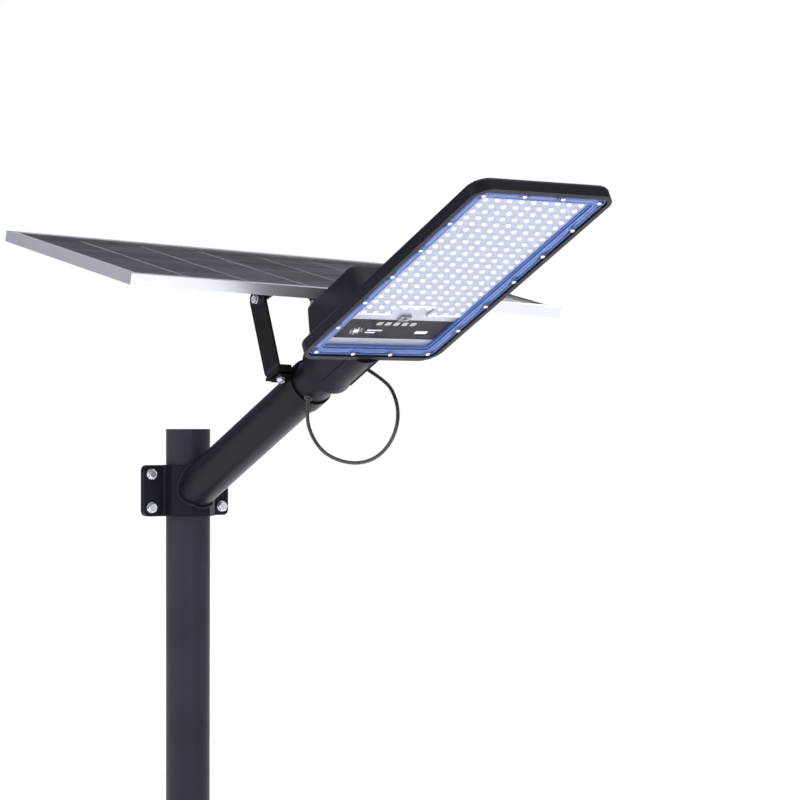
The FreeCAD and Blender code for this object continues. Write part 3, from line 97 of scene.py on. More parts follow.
class Material:
    """A node material around one Principled shader, with short names for what it needs."""

    def __init__(self, name, colour, roughness, metallic=0.0, place=None, **sockets):
        self.data = bpy.data.materials.new(name)
        self.data.use_nodes = True
        self.tree = self.data.node_tree
        self.shader = self.tree.nodes["Principled BSDF"]
        self.shader.inputs["Base Color"].default_value = (*colour, 1)
        self.shader.inputs["Roughness"].default_value = roughness
        self.shader.inputs["Metallic"].default_value = metallic
        for socket, value in sockets.items():
            self.shader.inputs[socket.replace("_", " ")].default_value = value
        self.colour = colour
        self.roughness = roughness
        self.bumped = None
        self.coords = self.new("ShaderNodeTexCoord").outputs["Object"]
        if place is not None:
            self.coords = self.placed(place)

    def new(self, kind, **values):
        made = self.tree.nodes.new(kind)
        for name, value in values.items():
            setattr(made, name, value)
        return made

    def link(self, source, target):
        self.tree.links.new(source, target)

    def placed(self, place):
        """The coordinates in a sub-assembly's own frame, in metres."""
        mapping = self.new("ShaderNodeMapping", vector_type="TEXTURE")
        mapping.inputs["Location"].default_value = place.to_translation()
        mapping.inputs["Rotation"].default_value = place.to_euler()
        self.link(self.coords, mapping.inputs["Vector"])
        return mapping.outputs["Vector"]

    def noise(self, scale, detail=3.0, stretch=(1, 1, 1)):
        coords = self.coords
        if stretch != (1, 1, 1):
            mapping = self.new("ShaderNodeMapping")
            mapping.inputs["Scale"].default_value = stretch
            self.link(coords, mapping.inputs["Vector"])
            coords = mapping.outputs["Vector"]
        texture = self.new("ShaderNodeTexNoise")
        texture.inputs["Scale"].default_value = scale
        texture.inputs["Detail"].default_value = detail
        self.link(coords, texture.inputs["Vector"])
        return texture.outputs["Fac"]

    def cells(self, scale):
        texture = self.new("ShaderNodeTexVoronoi")
        texture.inputs["Scale"].default_value = scale
        self.link(self.coords, texture.inputs["Vector"])
        return texture.outputs["Distance"]

    def ramp(self, source, *stops):
        """A colour ramp from (position, colour) stops."""
        made = self.new("ShaderNodeValToRGB")
        elements = made.color_ramp.elements
        for index, (position, colour) in enumerate(stops):
            element = elements[index] if index < 2 else elements.new(position)
            element.position = position
            element.color = (*colour, 1)
        self.link(source, made.inputs["Fac"])
        return made.outputs["Color"]

    def spread(self, source, low, high, from_low=0.3, from_high=0.7):
        made = self.new("ShaderNodeMapRange")
        made.inputs["From Min"].default_value = from_low
        made.inputs["From Max"].default_value = from_high
        made.inputs["To Min"].default_value = low
        made.inputs["To Max"].default_value = high
        self.link(source, made.inputs["Value"])
        return made.outputs["Result"]

    def tint(self, source, change):
        """Base colour that varies by a share either way with a texture."""
        dark = [channel * (1 - change) for channel in self.colour]
        light = [min(1.0, channel * (1 + change)) for channel in self.colour]
        self.link(self.ramp(source, (0.3, dark), (0.7, light)), self.shader.inputs["Base Color"])
        return self

    def rough(self, source, change):
        value = self.spread(source, self.roughness - change, self.roughness + change)
        self.link(value, self.shader.inputs["Roughness"])
        return self

    def bump(self, source, strength, distance):
        made = self.new("ShaderNodeBump")
        made.inputs["Strength"].default_value = strength
        made.inputs["Distance"].default_value = distance
        self.link(source, made.inputs["Height"])
        if self.bumped is not None:
            self.link(self.bumped, made.inputs["Normal"])
        self.bumped = made.outputs["Normal"]
        self.link(self.bumped, self.shader.inputs["Normal"])
        return self

    def soft_edges(self, radius):
        """Rounds the look of hard edges by a small radius."""
        made = self.new("ShaderNodeBevel", samples=4)
        made.inputs["Radius"].default_value = radius
        if self.bumped is not None:
            self.link(self.bumped, made.inputs["Normal"])
        self.bumped = made.outputs["Normal"]
        self.link(self.bumped, self.shader.inputs["Normal"])
        return self

    def math(self, operation, first, second=None):
        made = self.new("ShaderNodeMath", operation=operation)
        for index, value in enumerate((first, second)):
            if value is None:
                continue
            if isinstance(value, (int, float)):
                made.inputs[index].default_value = value
            else:
                self.link(value, made.inputs[index])
        return made.outputs["Value"]

    def axis(self, letter):
        made = self.new("ShaderNodeSeparateXYZ")
        self.link(self.coords, made.inputs["Vector"])
        return made.outputs[letter]

    def stripes(self, source, pitch, width, offset=0.0):
        """1 on lines of a width, one each pitch, else 0."""
        shifted = self.math("ADD", source, 100 * pitch + offset)
        inside = self.math("MODULO", shifted, pitch)
        return self.math("LESS_THAN", inside, width)


def powder_coat(name, colour, roughness, edge, grain=1400):
    """Baked powder paint: fine orange peel, faint cloudiness and soft edges."""
    made = Material(name, colour, roughness, Specular_IOR_Level=0.1)
    made.soft_edges(edge)
    made.tint(made.noise(9, 4), 0.16)
    made.rough(made.noise(35, 5), 0.05)
    made.bump(made.noise(grain, 2), 0.22, 0.00012)
    made.bump(made.noise(220, 2), 0.10, 0.0003)
    return made


def zinc_plate(name, colour=(0.66, 0.68, 0.72)):
    """Bright zinc: light metal with a slight iridescent cloud and machining marks."""
    made = Material(name, colour, 0.26, 0.85)
    made.tint(made.noise(160, 4), 0.18)
    made.rough(made.noise(420, 4), 0.09)
    made.bump(made.noise(900, 3), 0.15, 0.00008)
    return made


pole_paint = powder_coat("pole_paint", (0.026, 0.026, 0.037), 0.44, 0.0006)
arm_paint = powder_coat("arm_paint", (0.006, 0.0068, 0.0115), 0.36, 0.0008)
clamp_paint = powder_coat("clamp_paint", (0.009, 0.0095, 0.015), 0.34, 0.0012)
bracket_paint = powder_coat("bracket_paint", (0.0055, 0.0055, 0.008), 0.38, 0.0007)
housing_paint = powder_coat("housing_paint", (0.007, 0.0078, 0.013), 0.42, 0.0009, 1000)
zinc = zinc_plate("zinc")
steel = zinc_plate("steel", (0.56, 0.57, 0.6))

rubber = Material("rubber_black", (0.012, 0.012, 0.014), 0.6)
rubber.tint(rubber.noise(60, 3), 0.2).bump(rubber.noise(800, 3), 0.2, 0.0001)
sheath = Material("cable_black", (0.03, 0.03, 0.034), 0.42)
sheath.tint(sheath.noise(50, 3), 0.2).bump(sheath.noise(500, 3), 0.15, 0.0001)

cover = Material("clear_cover", (0.05, 0.06, 0.09), 0.03, Alpha=0.05, IOR=1.4)
cover.rough(cover.noise(25, 3), 0.02).bump(cover.noise(12, 2), 0.03, 0.0004)
seal = Material("blue_seal", (0.03, 0.07, 0.26), 0.34, place=HEAD, Coat_Weight=0.3, Coat_Roughness=0.12)
# Painted glow: a faint blue emission makes the seal, its pads and its skirt read lighter than the lamps
# light them.
seal.shader.inputs["Emission Color"].default_value = (0.06, 0.2, 0.75, 1)
seal.shader.inputs["Emission Strength"].default_value = 0.1
seal.tint(seal.noise(28, 4), 0.22).rough(seal.noise(90, 3), 0.04).bump(seal.noise(60, 3), 0.05, 0.0004)
# A lighter copy of the blue seal for the beads along its edges: painted highlight lines, not a second colour
# of the seal.
seal_painted_highlight = Material("blue_seal_painted_highlight", (0.09, 0.2, 0.56), 0.3, place=HEAD, Coat_Weight=0.3)
seal_painted_highlight.tint(seal_painted_highlight.noise(40, 3), 0.25).bump(seal_painted_highlight.noise(120, 2), 0.1, 0.0003)
board = Material("board_white", (0.6, 0.62, 0.72), 0.42, place=HEAD)
board.tint(board.noise(30, 3), 0.06).bump(board.noise(600, 2), 0.1, 0.0001)
# Painted glow: a faint emission makes the white board brighter than the lamps light it, though the lamp is
# not switched on.
board.shader.inputs["Emission Color"].default_value = (0.8, 0.84, 1.0, 1)
board.shader.inputs["Emission Strength"].default_value = 0.03
phosphor = Material("led_phosphor", (0.95, 0.9, 0.62), 0.28, Coat_Weight=0.6)
phosphor.tint(phosphor.noise(700, 2), 0.08).bump(phosphor.noise(900, 2), 0.1, 0.0001)
lens = Material("lens_clear", (0.5, 0.53, 0.65), 0.2, place=HEAD, Alpha=0.62, IOR=1.5)
lens.rough(lens.noise(200, 3), 0.05).bump(lens.noise(350, 2), 0.12, 0.0003)
dome = Material("lens_dome", (0.97, 0.98, 1.0), 0.05, Alpha=0.78, IOR=1.5, Coat_Weight=1.0)
# Painted glow: a faint emission brightens the lens domes, and the lens ribs that share this material, though
# the lamp is off.
dome.shader.inputs["Emission Color"].default_value = (0.92, 0.94, 1.0, 1)
dome.shader.inputs["Emission Strength"].default_value = 0.1
dome.rough(dome.noise(300, 2), 0.02)
sensor = Material("sensor_grey", (0.2, 0.2, 0.23), 0.3)
sensor.tint(sensor.noise(400, 2), 0.15).bump(sensor.noise(700, 2), 0.1, 0.0001)
sensor_eye = Material("sensor_eye", (0.012, 0.012, 0.016), 0.12, Coat_Weight=0.6)
sensor_eye.tint(sensor_eye.noise(300, 2), 0.2)
film = Material("label_black", (0.003, 0.003, 0.004), 0.55, Specular_IOR_Level=0.15)
film.tint(film.noise(80, 3), 0.25).rough(film.noise(60, 3), 0.05)
silver = Material("label_silver", (0.42, 0.43, 0.5), 0.38, 0.35, place=HEAD)
silver.tint(silver.noise(60, 3), 0.08).bump(silver.noise(900, 2), 0.12, 0.0001)
print_pale = Material("print_pale", (0.8, 0.82, 0.88), 0.45)
print_pale.tint(print_pale.noise(300, 2), 0.06)
window = Material("indicator", (0.8, 0.82, 0.88), 0.35, Coat_Weight=0.3)
window.tint(window.noise(600, 3), 0.25)
green = Material("circuit_green", (0.02, 0.14, 0.05), 0.4)
green.tint(green.noise(200, 3), 0.3)
wrap = Material("battery_wrap", (0.05, 0.2, 0.45), 0.35)
wrap.tint(wrap.noise(60, 3), 0.15)
black_plastic = Material("junction_black", (0.014, 0.014, 0.016), 0.46)
black_plastic.soft_edges(0.0006)
black_plastic.tint(black_plastic.noise(40, 3), 0.2).bump(black_plastic.noise(700, 3), 0.25, 0.0001)
foam = Material("foam_grey", (0.15, 0.15, 0.16), 0.9)
foam.tint(foam.cells(500), 0.3).bump(foam.cells(500), 0.5, 0.0004)

aluminium = Material("panel_aluminium", (0.66, 0.67, 0.71), 0.34, 0.85, place=PANEL)
aluminium.soft_edges(0.0004)
aluminium.tint(aluminium.noise(14, 2), 0.02)
aluminium.rough(aluminium.noise(40, 2), 0.015)
aluminium.bump(aluminium.noise(900, 2), 0.03, 0.00003)
solar_glass = Material("panel_glass", (0.04, 0.04, 0.05), 0.2, Alpha=0.14, IOR=1.45)
solar_glass.rough(solar_glass.noise(60, 3), 0.02).bump(solar_glass.noise(1200, 2), 0.03, 0.00005)
backsheet = Material("backsheet_white", (0.78, 0.78, 0.78), 0.55)
backsheet.tint(backsheet.noise(12, 3), 0.06).bump(backsheet.noise(500, 3), 0.15, 0.0001)

# Silicon: near-black grey with faint fingers and busbars, and a pale edge along each column of cells.
silicon = Material("solar_cell", (0.03, 0.03, 0.042), 0.3, place=PANEL)
CELL_PITCH_X = (698 - 30 + 2) / 7 * MM
BUSBAR_PITCH = CELL_PITCH_X / 3
across = silicon.axis("X")
along = silicon.axis("Y")
busbars = silicon.stripes(across, BUSBAR_PITCH, 0.0006, BUSBAR_PITCH / 2)
fingers = silicon.stripes(along, 0.0024, 0.0003)
columns = silicon.stripes(across, CELL_PITCH_X, 0.0044, CELL_PITCH_X / 2 + 0.0022)
faint_busbars = silicon.math("MULTIPLY", busbars, 0.06)
drawn = silicon.math("MAXIMUM", faint_busbars, silicon.math("MULTIPLY", fingers, 0.03))
drawn = silicon.math("MAXIMUM", drawn, silicon.math("MULTIPLY", columns, 0.85))
clouded = silicon.math("ADD", drawn, silicon.math("MULTIPLY", silicon.noise(3, 2), 0.06))
silicon.link(
    silicon.ramp(clouded, (0.0, (0.018, 0.017, 0.024)), (1.0, (0.36, 0.36, 0.4))),
    silicon.shader.inputs["Base Color"])
silicon.bump(fingers, 0.05, 0.00002)

# ------------------------------------------------------------ mesh helpers


def finish_mesh(name, mesh_data, body, material, smooth=35):
    """Turns a bmesh into a piece that rides on a body."""
    mesh = bpy.data.meshes.new(name)
    bmesh.ops.recalc_face_normals(mesh_data, faces=mesh_data.faces)
    mesh_data.to_mesh(mesh)
    mesh_data.free()
    piece = bpy.data.objects.new(name, mesh)
    bpy.context.scene.collection.objects.link(piece)
    for polygon in mesh.polygons:
        polygon.use_smooth = True
    mesh.set_sharp_from_angle(angle=math.radians(smooth))
    materials = material if isinstance(material, (list, tuple)) else [material]
    for item in materials:
        mesh.materials.append(item.data)
    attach(piece, body)
    return piece


def lathe(work, profile, place, segments=32, radius_at=None):
    """Adds a turned form: profile is (radius, height) pairs along the place's z."""
    rings = []
    for radius, height in profile:
        ring = []
        for index in range(segments):
            turn = 2 * math.pi * index / segments
            reach = radius_at(radius, turn) if radius_at else radius
            local = Vector((reach * math.cos(turn), reach * math.sin(turn), height))
            ring.append(work.verts.new(place @ local))
        rings.append(ring)
    for lower, upper in zip(rings, rings[1:]):
        for index in range(segments):
            following = (index + 1) % segments
            work.faces.new((lower[index], lower[following], upper[following], upper[index]))
    work.faces.new(list(reversed(rings[0])))
    work.faces.new(rings[-1])


def hexagonal(work, across_flats, height, place, bottom_chamfer=False, marked=False):
    """A hexagon head or nut with turned chamfers; heights run up the place's z."""
    segments = 48
    half = across_flats / 2
    face_radius = half * 0.96

    def reach(turn):
        inside = (turn + math.pi / 6) % (math.pi / 3) - math.pi / 6
        return half / math.cos(inside)

    def drop(turn):
        return (reach(turn) - face_radius) * math.tan(math.radians(30))

    def point(radius, turn, z):
        return work.verts.new(place @ Vector((radius * math.cos(turn), radius * math.sin(turn), z)))

    turns = [2 * math.pi * index / segments for index in range(segments)]
    rows = []
    if bottom_chamfer:
        rows.append([point(face_radius, turn, 0) for turn in turns])
        rows.append([point(reach(turn), turn, drop(turn)) for turn in turns])
    else:
        rows.append([point(reach(turn), turn, 0) for turn in turns])
    rows.append([point(reach(turn), turn, height - drop(turn)) for turn in turns])
    rows.append([point(face_radius, turn, height) for turn in turns])
    if marked:
        rows.append([point(face_radius * 0.82, turn, height) for turn in turns])
        rows.append([point(face_radius * 0.74, turn, height - half * 0.06) for turn in turns])
    for lower, upper in zip(rows, rows[1:]):
        for index in range(segments):
            following = (index + 1) % segments
            work.faces.new((lower[index], lower[following], upper[following], upper[index]))
    work.faces.new(list(reversed(rows[0])))
    work.faces.new(rows[-1])


def thread(work, radius, start, end, place, pitch=1.25 * MM):
    """A threaded shank's visible turns, with a chamfered tip at its end."""
    depth = 0.55 * pitch
    profile = [(radius - depth, start)]
    height = start
    while height + pitch < end - pitch:
        profile.append((radius - depth, height + 0.15 * pitch))
        profile.append((radius, height + 0.45 * pitch))
        profile.append((radius, height + 0.6 * pitch))
        profile.append((radius - depth, height + 0.9 * pitch))
        height += pitch
    profile.append((radius, height + 0.45 * pitch))
    profile.append((radius, end - 0.6 * pitch))
    profile.append((radius - 1.1 * depth, end))
    lathe(work, profile, place, 24)


def looking(place, at, direction):
    """A frame at a point of place whose z looks along a direction of place."""
    turn = Vector(direction).to_track_quat("Z", "X").to_matrix().to_4x4()
    return place @ Matrix.Translation(Vector(at)) @ turn


# ------------------------------------------------------------ cable loop

LOOP_POINTS_MM = [
    (-20.5, -340.0, 616.0),
    (-15.0, -345.0, 590.0),
    (-8.0, -363.0, 568.0),
    (-1.0, -393.0, 556.5),
    (5.5, -426.0, 553.5),
    (11.0, -456.0, 560.0),
    (16.0, -479.0, 575.5),
    (21.0, -491.5, 598.0),
    (27.0, -489.0, 622.0),
    (33.5, -472.0, 645.0),
    (41.0, -443.0, 664.0),
]


def on_arm(along_arm, turn, out):
    """The point at a distance out from the arm's axis, in millimetres, under a turn about it."""
    around = Matrix.Rotation(math.radians(turn), 4, "Y")
    return ARM @ (Vector((0, -along_arm * MM, 0)) + around @ Vector((0, 0, out * MM)))


LOOP_START = on_arm(366.5, 212, 32.5)
LOOP_END = on_arm(446, 125, 39.5)
CABLE_DIAMETER = 5 * MM


def make_cable():
    curve = bpy.data.curves.new("loop_cable_sheath", "CURVE")
    curve.dimensions = "3D"
    spline = curve.splines.new("NURBS")
    points = [LOOP_START] + [Vector(point) * MM for point in LOOP_POINTS_MM] + [LOOP_END]
    spline.points.add(len(points) - 1)
    for item, point in zip(spline.points, points):
        item.co = (*point, 1)
    spline.order_u = 3
    spline.use_endpoint_u = True
    curve.bevel_depth = CABLE_DIAMETER / 2
    curve.bevel_resolution = 6
    curve.resolution_u = 14
    curve.use_fill_caps = True
    curve.materials.append(sheath.data)
    cable = bpy.data.objects.new("loop_cable_sheath", curve)
    bpy.context.scene.collection.objects.link(cable)
    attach(cable, "arm")
    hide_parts("loop_cable")


make_cable()

# ------------------------------------------------------------ CAD nodes that stay as they are

CARRIED = {
    "pole": pole_paint, "pole_cap": pole_paint,
    "clamp_front": clamp_paint, "clamp_rear": clamp_paint, "arm_tube": arm_paint,
    "clamp_washers": zinc, "bracket_washers": zinc, "hinge_washers": zinc, "rail_screws": zinc,
    "board_screws": steel, "loop_grommet": rubber, "lead_grommet": rubber, "neck_grommet": rubber,
    "head_housing": housing_paint, "lens_cover": cover, "seal_frame": seal, "led_board": board,
    "led_chips": phosphor, "lens_sheet": lens, "light_sensor": sensor, "controller_plate": silver,
    "label_band": film, "charge_indicators": window, "charge_controller": green,
    "battery_cells": wrap, "battery_holder": black_plastic, "battery_pad": foam,
    "bracket_saddle": bracket_paint, "bracket_strap": bracket_paint,
    "bracket_leg_left": bracket_paint, "bracket_leg_right": bracket_paint,
    "panel_frame_front": aluminium, "panel_frame_right": aluminium,
    "panel_frame_rear": aluminium, "panel_frame_left": aluminium,
    "panel_corner_keys": aluminium, "panel_glass": solar_glass, "panel_backsheet": backsheet,
    "solar_cells": silicon, "junction_box": black_plastic, "junction_lid": black_plastic,
    "lead_gland": black_plastic, "panel_rail_left": bracket_paint, "panel_rail_right": bracket_paint,
}
for label, material in CARRIED.items():
    mesh = NODES[label].data
    mesh.materials.clear()
    mesh.materials.append(material.data)

# ------------------------------------------------------------ fasteners in full

CLAMP_PLACES = [(x * 60.6 * MM, z * 24.5 * MM) for x in (-1, 1) for z in (-1, 1)]


def make_clamp_fasteners():
    front = (4 - 1.6) * MM
    rear = (14 + 1.6) * MM
    bolts, nuts = bmesh.new(), bmesh.new()
    for index, (x, z) in enumerate(CLAMP_PLACES):
        turn = Matrix.Rotation(math.radians(11 + 23 * index), 4, "Z")
        head = looking(CLAMP, (x, front, z), (0, -1, 0)) @ turn
        hexagonal(bolts, 13 * MM, 5.3 * MM, head, marked=True)
        shank = looking(CLAMP, (x, front, z), (0, 1, 0))
        lathe(bolts, [(4 * MM, 0), (4 * MM, rear - front)], shank, 24)
        thread(bolts, 4 * MM, rear - front, rear - front + 9 * MM, shank)
        hexagonal(nuts, 13 * MM, 6.5 * MM, looking(CLAMP, (x, rear, z), (0, 1, 0)) @ turn, True)
    piece = finish_mesh("clamp_bolts_threaded", bolts, "arm", zinc)
    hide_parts("clamp_bolts")
    piece = finish_mesh("clamp_nuts_chamfered", nuts, "arm", zinc)
    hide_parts("clamp_nuts")


def make_bracket_fasteners():
    low = (16 - 2 - 2.5 - 1.6) * MM
    high = (24 + 1.6) * MM
    bolts, nuts = bmesh.new(), bmesh.new()
    for side in (-1, 1):
        x = side * 40 * MM
        turn = Matrix.Rotation(math.radians(17 * side + 4), 4, "Z")
        hexagonal(bolts, 10 * MM, 4 * MM, looking(BRACKET, (x, 0, low), (0, 0, -1)) @ turn, marked=True)
        shank = looking(BRACKET, (x, 0, low), (0, 0, 1))
        lathe(bolts, [(3 * MM, 0), (3 * MM, high - low)], shank, 24)
        thread(bolts, 3 * MM, high - low, high - low + 7.5 * MM, shank, 1.0 * MM)
        hexagonal(nuts, 10 * MM, 5 * MM, looking(BRACKET, (x, 0, high), (0, 0, 1)) @ turn, True)
    piece = finish_mesh("bracket_bolts_threaded", bolts, "bracket", zinc)
    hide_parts("bracket_bolts")
    piece = finish_mesh("bracket_nuts_chamfered", nuts, "bracket", zinc)
    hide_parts("bracket_nuts")


def make_hinge_fasteners():
    outer = (52 + 0.3 + 1.6) * MM
    inner = (50 - 0.3 - 3 - 1.6) * MM
    bolts, nuts = bmesh.new(), bmesh.new()
    for side in (-1, 1):
        turn = Matrix.Rotation(math.radians(20 * side), 4, "Z")
        head = looking(PANEL, (side * outer, 0, 0), (side, 0, 0)) @ turn
        hexagonal(bolts, 10 * MM, 4 * MM, head, marked=True)
        shank = looking(PANEL, (side * outer, 0, 0), (-side, 0, 0))
        lathe(bolts, [(3 * MM, 0), (3 * MM, outer - inner)], shank, 24)
        thread(bolts, 3 * MM, outer - inner, outer - inner + 7.5 * MM, shank, 1.0 * MM)
        hexagonal(nuts, 10 * MM, 5 * MM, looking(PANEL, (side * inner, 0, 0), (-side, 0, 0)) @ turn, True)
    piece = finish_mesh("hinge_bolts_threaded", bolts, "panel", zinc)
    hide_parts("hinge_bolts")
    piece = finish_mesh("hinge_nuts_chamfered", nuts, "panel", zinc)
    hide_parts("hinge_nuts")


def socket_head(work, place, radius, height, key):
    """A button head: a low dome with a hexagon socket."""
    profile = [(radius, 0), (radius, 0.25 * height)]
    for step in range(1, 6):
        turn = step / 6 * math.pi / 2
        profile.append((radius * (0.55 + 0.45 * math.cos(turn)), height * (0.25 + 0.75 * math.sin(turn))))
    profile.append((key * 0.62, height))
    profile.append((key * 0.56, height * 0.94))
    profile.append((key * 0.5, height * 0.35))
    lathe(work, profile, place, 36)


def make_neck_bolts():
    level = (31.3 + 37 + 2) * MM
    work = bmesh.new()
    for distance in (412, 478):
        place = looking(HEAD, (0, HEAD_FROM_POLE - distance * MM, level), (0, 0, 1))
        socket_head(work, place, 6.5 * MM, 4.5 * MM, 5 * MM)
        down = looking(HEAD, (0, HEAD_FROM_POLE - distance * MM, level), (0, 0, -1))
        thread(work, 4 * MM, 0, 8.8 * MM, down)
    piece = finish_mesh("neck_bolts_button", work, "arm", zinc)
    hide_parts("neck_bolts")


SIDE_SCREWS = [(side * 97.8, step * 66.7) for side in (-1, 1) for step in range(-2, 3)]
END_SCREW_OFFSETS = ((91.5, 200), (30.5, 203.7))
END_SCREWS = [(side * x, end * y) for side in (-1, 1) for end in (-1, 1) for x, y in END_SCREW_OFFSETS]
COVER_SCREWS = SIDE_SCREWS + END_SCREWS


def cross_head(work, place, radius, height, turn):
    """A pan head with a cross recess."""
    rings, segments = 10, 40
    rows = []
    for ring in range(rings + 1):
        share = ring / rings
        reach = radius * share
        row = []
        for index in range(segments):
            angle = 2 * math.pi * index / segments
            x, y = reach * math.cos(angle), reach * math.sin(angle)
            rise = height * (1 - share ** 4) ** 0.5 if share < 1 else 0
            u, v = x * math.cos(turn) + y * math.sin(turn), y * math.cos(turn) - x * math.sin(turn)
            slot = min(abs(u), abs(v)) < 0.14 * radius and reach < 0.62 * radius
            row.append(work.verts.new(place @ Vector((x, y, rise - (0.45 * height if slot else 0)))))
        rows.append(row)
    for lower, upper in zip(rows, rows[1:]):
        for index in range(segments):
            following = (index + 1) % segments
            work.faces.new((lower[index], upper[index], upper[following], lower[following]))
    bmesh.ops.remove_doubles(work, verts=rows[0], dist=1e-6)


def make_cover_screws():
    work = bmesh.new()
    for x, y in COVER_SCREWS:
        turn = random.uniform(0, math.pi / 2)
        cross_head(work, looking(HEAD, (x * MM, y * MM, 0), (0, 0, -1)), 3.2 * MM, 1.8 * MM, turn)
        thread(work, 1.5 * MM, 0, 11 * MM, looking(HEAD, (x * MM, y * MM, 0), (0, 0, 1)), 0.5 * MM)
    piece = finish_mesh("cover_screws_cross", work, "arm", zinc, 50)
    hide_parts("cover_screws")


make_clamp_fasteners()
make_bracket_fasteners()
make_hinge_fasteners()
make_neck_bolts()
make_cover_screws()

# ------------------------------------------------------------ weld between arm and clamp

TUBE_RADIUS = 30 * MM
CLAMP_REACH = 36.8 * MM
CLAMP_TOP = (509.6 + 37.5 - 0.6) * MM
BEAD_RADIUS = 3.4 * MM


def plate_depth(x):
    """How far the bent front plate stands out from the pole's axis at this x."""
    facet = CLAMP_REACH * math.tan(math.radians(22.5))
    if abs(x) <= facet:
        return CLAMP_REACH
    return CLAMP_REACH * math.sqrt(2) - abs(x)


def weld_point(turn):
    x = TUBE_RADIUS * math.cos(turn)
    up = TUBE_RADIUS * math.sin(turn)
    slope_y, slope_z = ARM_BACK.y, ARM_BACK.z
    depth = -plate_depth(x)
    along_arm = (up * -slope_z - depth) / slope_y
    z = ARM.translation.z - along_arm * slope_z + up * slope_y
    return Vector((x, depth, min(z, CLAMP_TOP)))


def make_weld():
    """A ripple-faced bead round the coped end of the tube."""
    steps, sides, ripples = 420, 12, 52
    work = bmesh.new()
    rings = []
    for step in range(steps):
        turn = 2 * math.pi * step / steps
        point = weld_point(turn)
        ahead = weld_point(turn + 0.02) - weld_point(turn - 0.02)
        ahead.normalize()
        outward = (point - ARM.translation)
        outward -= ARM_BACK * outward.dot(ARM_BACK)
        outward = (outward.normalized() + Vector((0, -0.9, 0))).normalized()
        outward -= ahead * outward.dot(ahead)
        outward.normalize()
        other = ahead.cross(outward)
        phase = (ripples * step / steps) % 1.0
        swell = 1 + 0.16 * math.sqrt(max(0.0, 1 - (2 * phase - 1) ** 2)) - 0.06
        wander = 1 + 0.08 * math.sin(5 * turn + 1) + 0.05 * math.sin(11 * turn)
        radius = BEAD_RADIUS * swell * wander
        centre = point + outward * (0.25 * BEAD_RADIUS)
        ring = []
        for side in range(sides):
            angle = 2 * math.pi * side / sides
            direction = outward * math.cos(angle) + other * math.sin(angle)
            ring.append(work.verts.new(centre + direction * radius))
        rings.append(ring)
    for index in range(steps):
        lower, upper = rings[index], rings[(index + 1) % steps]
        for side in range(sides):
            following = (side + 1) % sides
            work.faces.new((lower[side], lower[following], upper[following], upper[side]))
    piece = finish_mesh("arm_weld_bead", work, "arm", clamp_paint, 60)
    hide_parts("arm_weld")


make_weld()

# ------------------------------------------------------------ lamp face: lenses, seal, label

# Levels in the head's frame, in millimetres from the cover's face.
HEAD_FLOOR = 11
BOARD_FACE = HEAD_FLOOR - 1.6
LENS_FACE = BOARD_FACE - 3.2
BAND_FACE = HEAD_FLOOR - 2.3
WINDOW_FACE = BAND_FACE - 0.3
SENSOR_FACE = BOARD_FACE - 4

LED_PLACES = []
for row in range(21):
    for column in range(9):
        if row == 20 and abs(column - 4) < 2:
            continue
        LED_PLACES.append(((column - 4) * 19, row * 14.23 - 184.2))


def make_lens_domes():
    """One clear, slightly oval lens over each emitter, moulded on the lens sheet."""
    work = bmesh.new()
    base = LENS_FACE * MM
    rings, segments = 5, 18
    for x, y in LED_PLACES:
        rows = []
        for ring in range(rings + 1):
            share = ring / rings
            row = []
            for index in range(segments):
                angle = 2 * math.pi * index / segments
                waist = 1 + 0.10 * math.cos(2 * angle)
                reach = 3.9 * share * waist
                rise = 2.9 * math.sqrt(max(0.0, 1 - share ** 2.6))
                across = (x + reach * math.cos(angle)) * MM
                along = (y + reach * math.sin(angle)) * MM
                row.append(work.verts.new(HEAD @ Vector((across, along, base - rise * MM))))
            rows.append(row)
        for lower, upper in zip(rows, rows[1:]):
            for index in range(segments):
                following = (index + 1) % segments
                work.faces.new((lower[index], lower[following], upper[following], upper[index]))
        bmesh.ops.remove_doubles(work, verts=rows[0], dist=1e-6)
    finish_mesh("lens_domes", work, "arm", dome, 80)


def tube_loop(work, points, radius, sides=8, closed=True):
    """A round bead along points that lie in one plane of the head."""
    count = len(points)
    up = (HEAD.to_3x3() @ Vector((0, 0, 1))).normalized()
    rings = []
    for index, point in enumerate(points):
        before = points[(index - 1) % count] if closed or index else point
        after = points[(index + 1) % count] if closed or index < count - 1 else point
        ahead = (after - before).normalized()
        side_way = ahead.cross(up).normalized()
        ring = []
        for step in range(sides):
            angle = 2 * math.pi * step / sides
            ring.append(work.verts.new(point + (side_way * math.cos(angle) + up * math.sin(angle)) * radius))
        rings.append(ring)
    last = count if closed else count - 1
    for index in range(last):
        lower, upper = rings[index], rings[(index + 1) % count]
        for step in range(sides):
            following = (step + 1) % sides
            work.faces.new((lower[step], lower[following], upper[following], upper[step]))
    if not closed:
        work.faces.new(rings[0])
        work.faces.new(list(reversed(rings[-1])))


def rounded_loop(half_x, half_y, corner, level, steps=10):
    """Points round a rounded rectangle of the head's face, in millimetres."""
    points = []
    for quarter, (sx, sy) in enumerate(((1, 1), (-1, 1), (-1, -1), (1, -1))):
        for step in range(steps + 1):
            angle = math.pi / 2 * (quarter + step / steps)
            x = sx * (half_x - corner) + corner * math.cos(angle)
            y = sy * (half_y - corner) + corner * math.sin(angle)
            points.append(HEAD @ Vector((x * MM, y * MM, level * MM)))
    return points


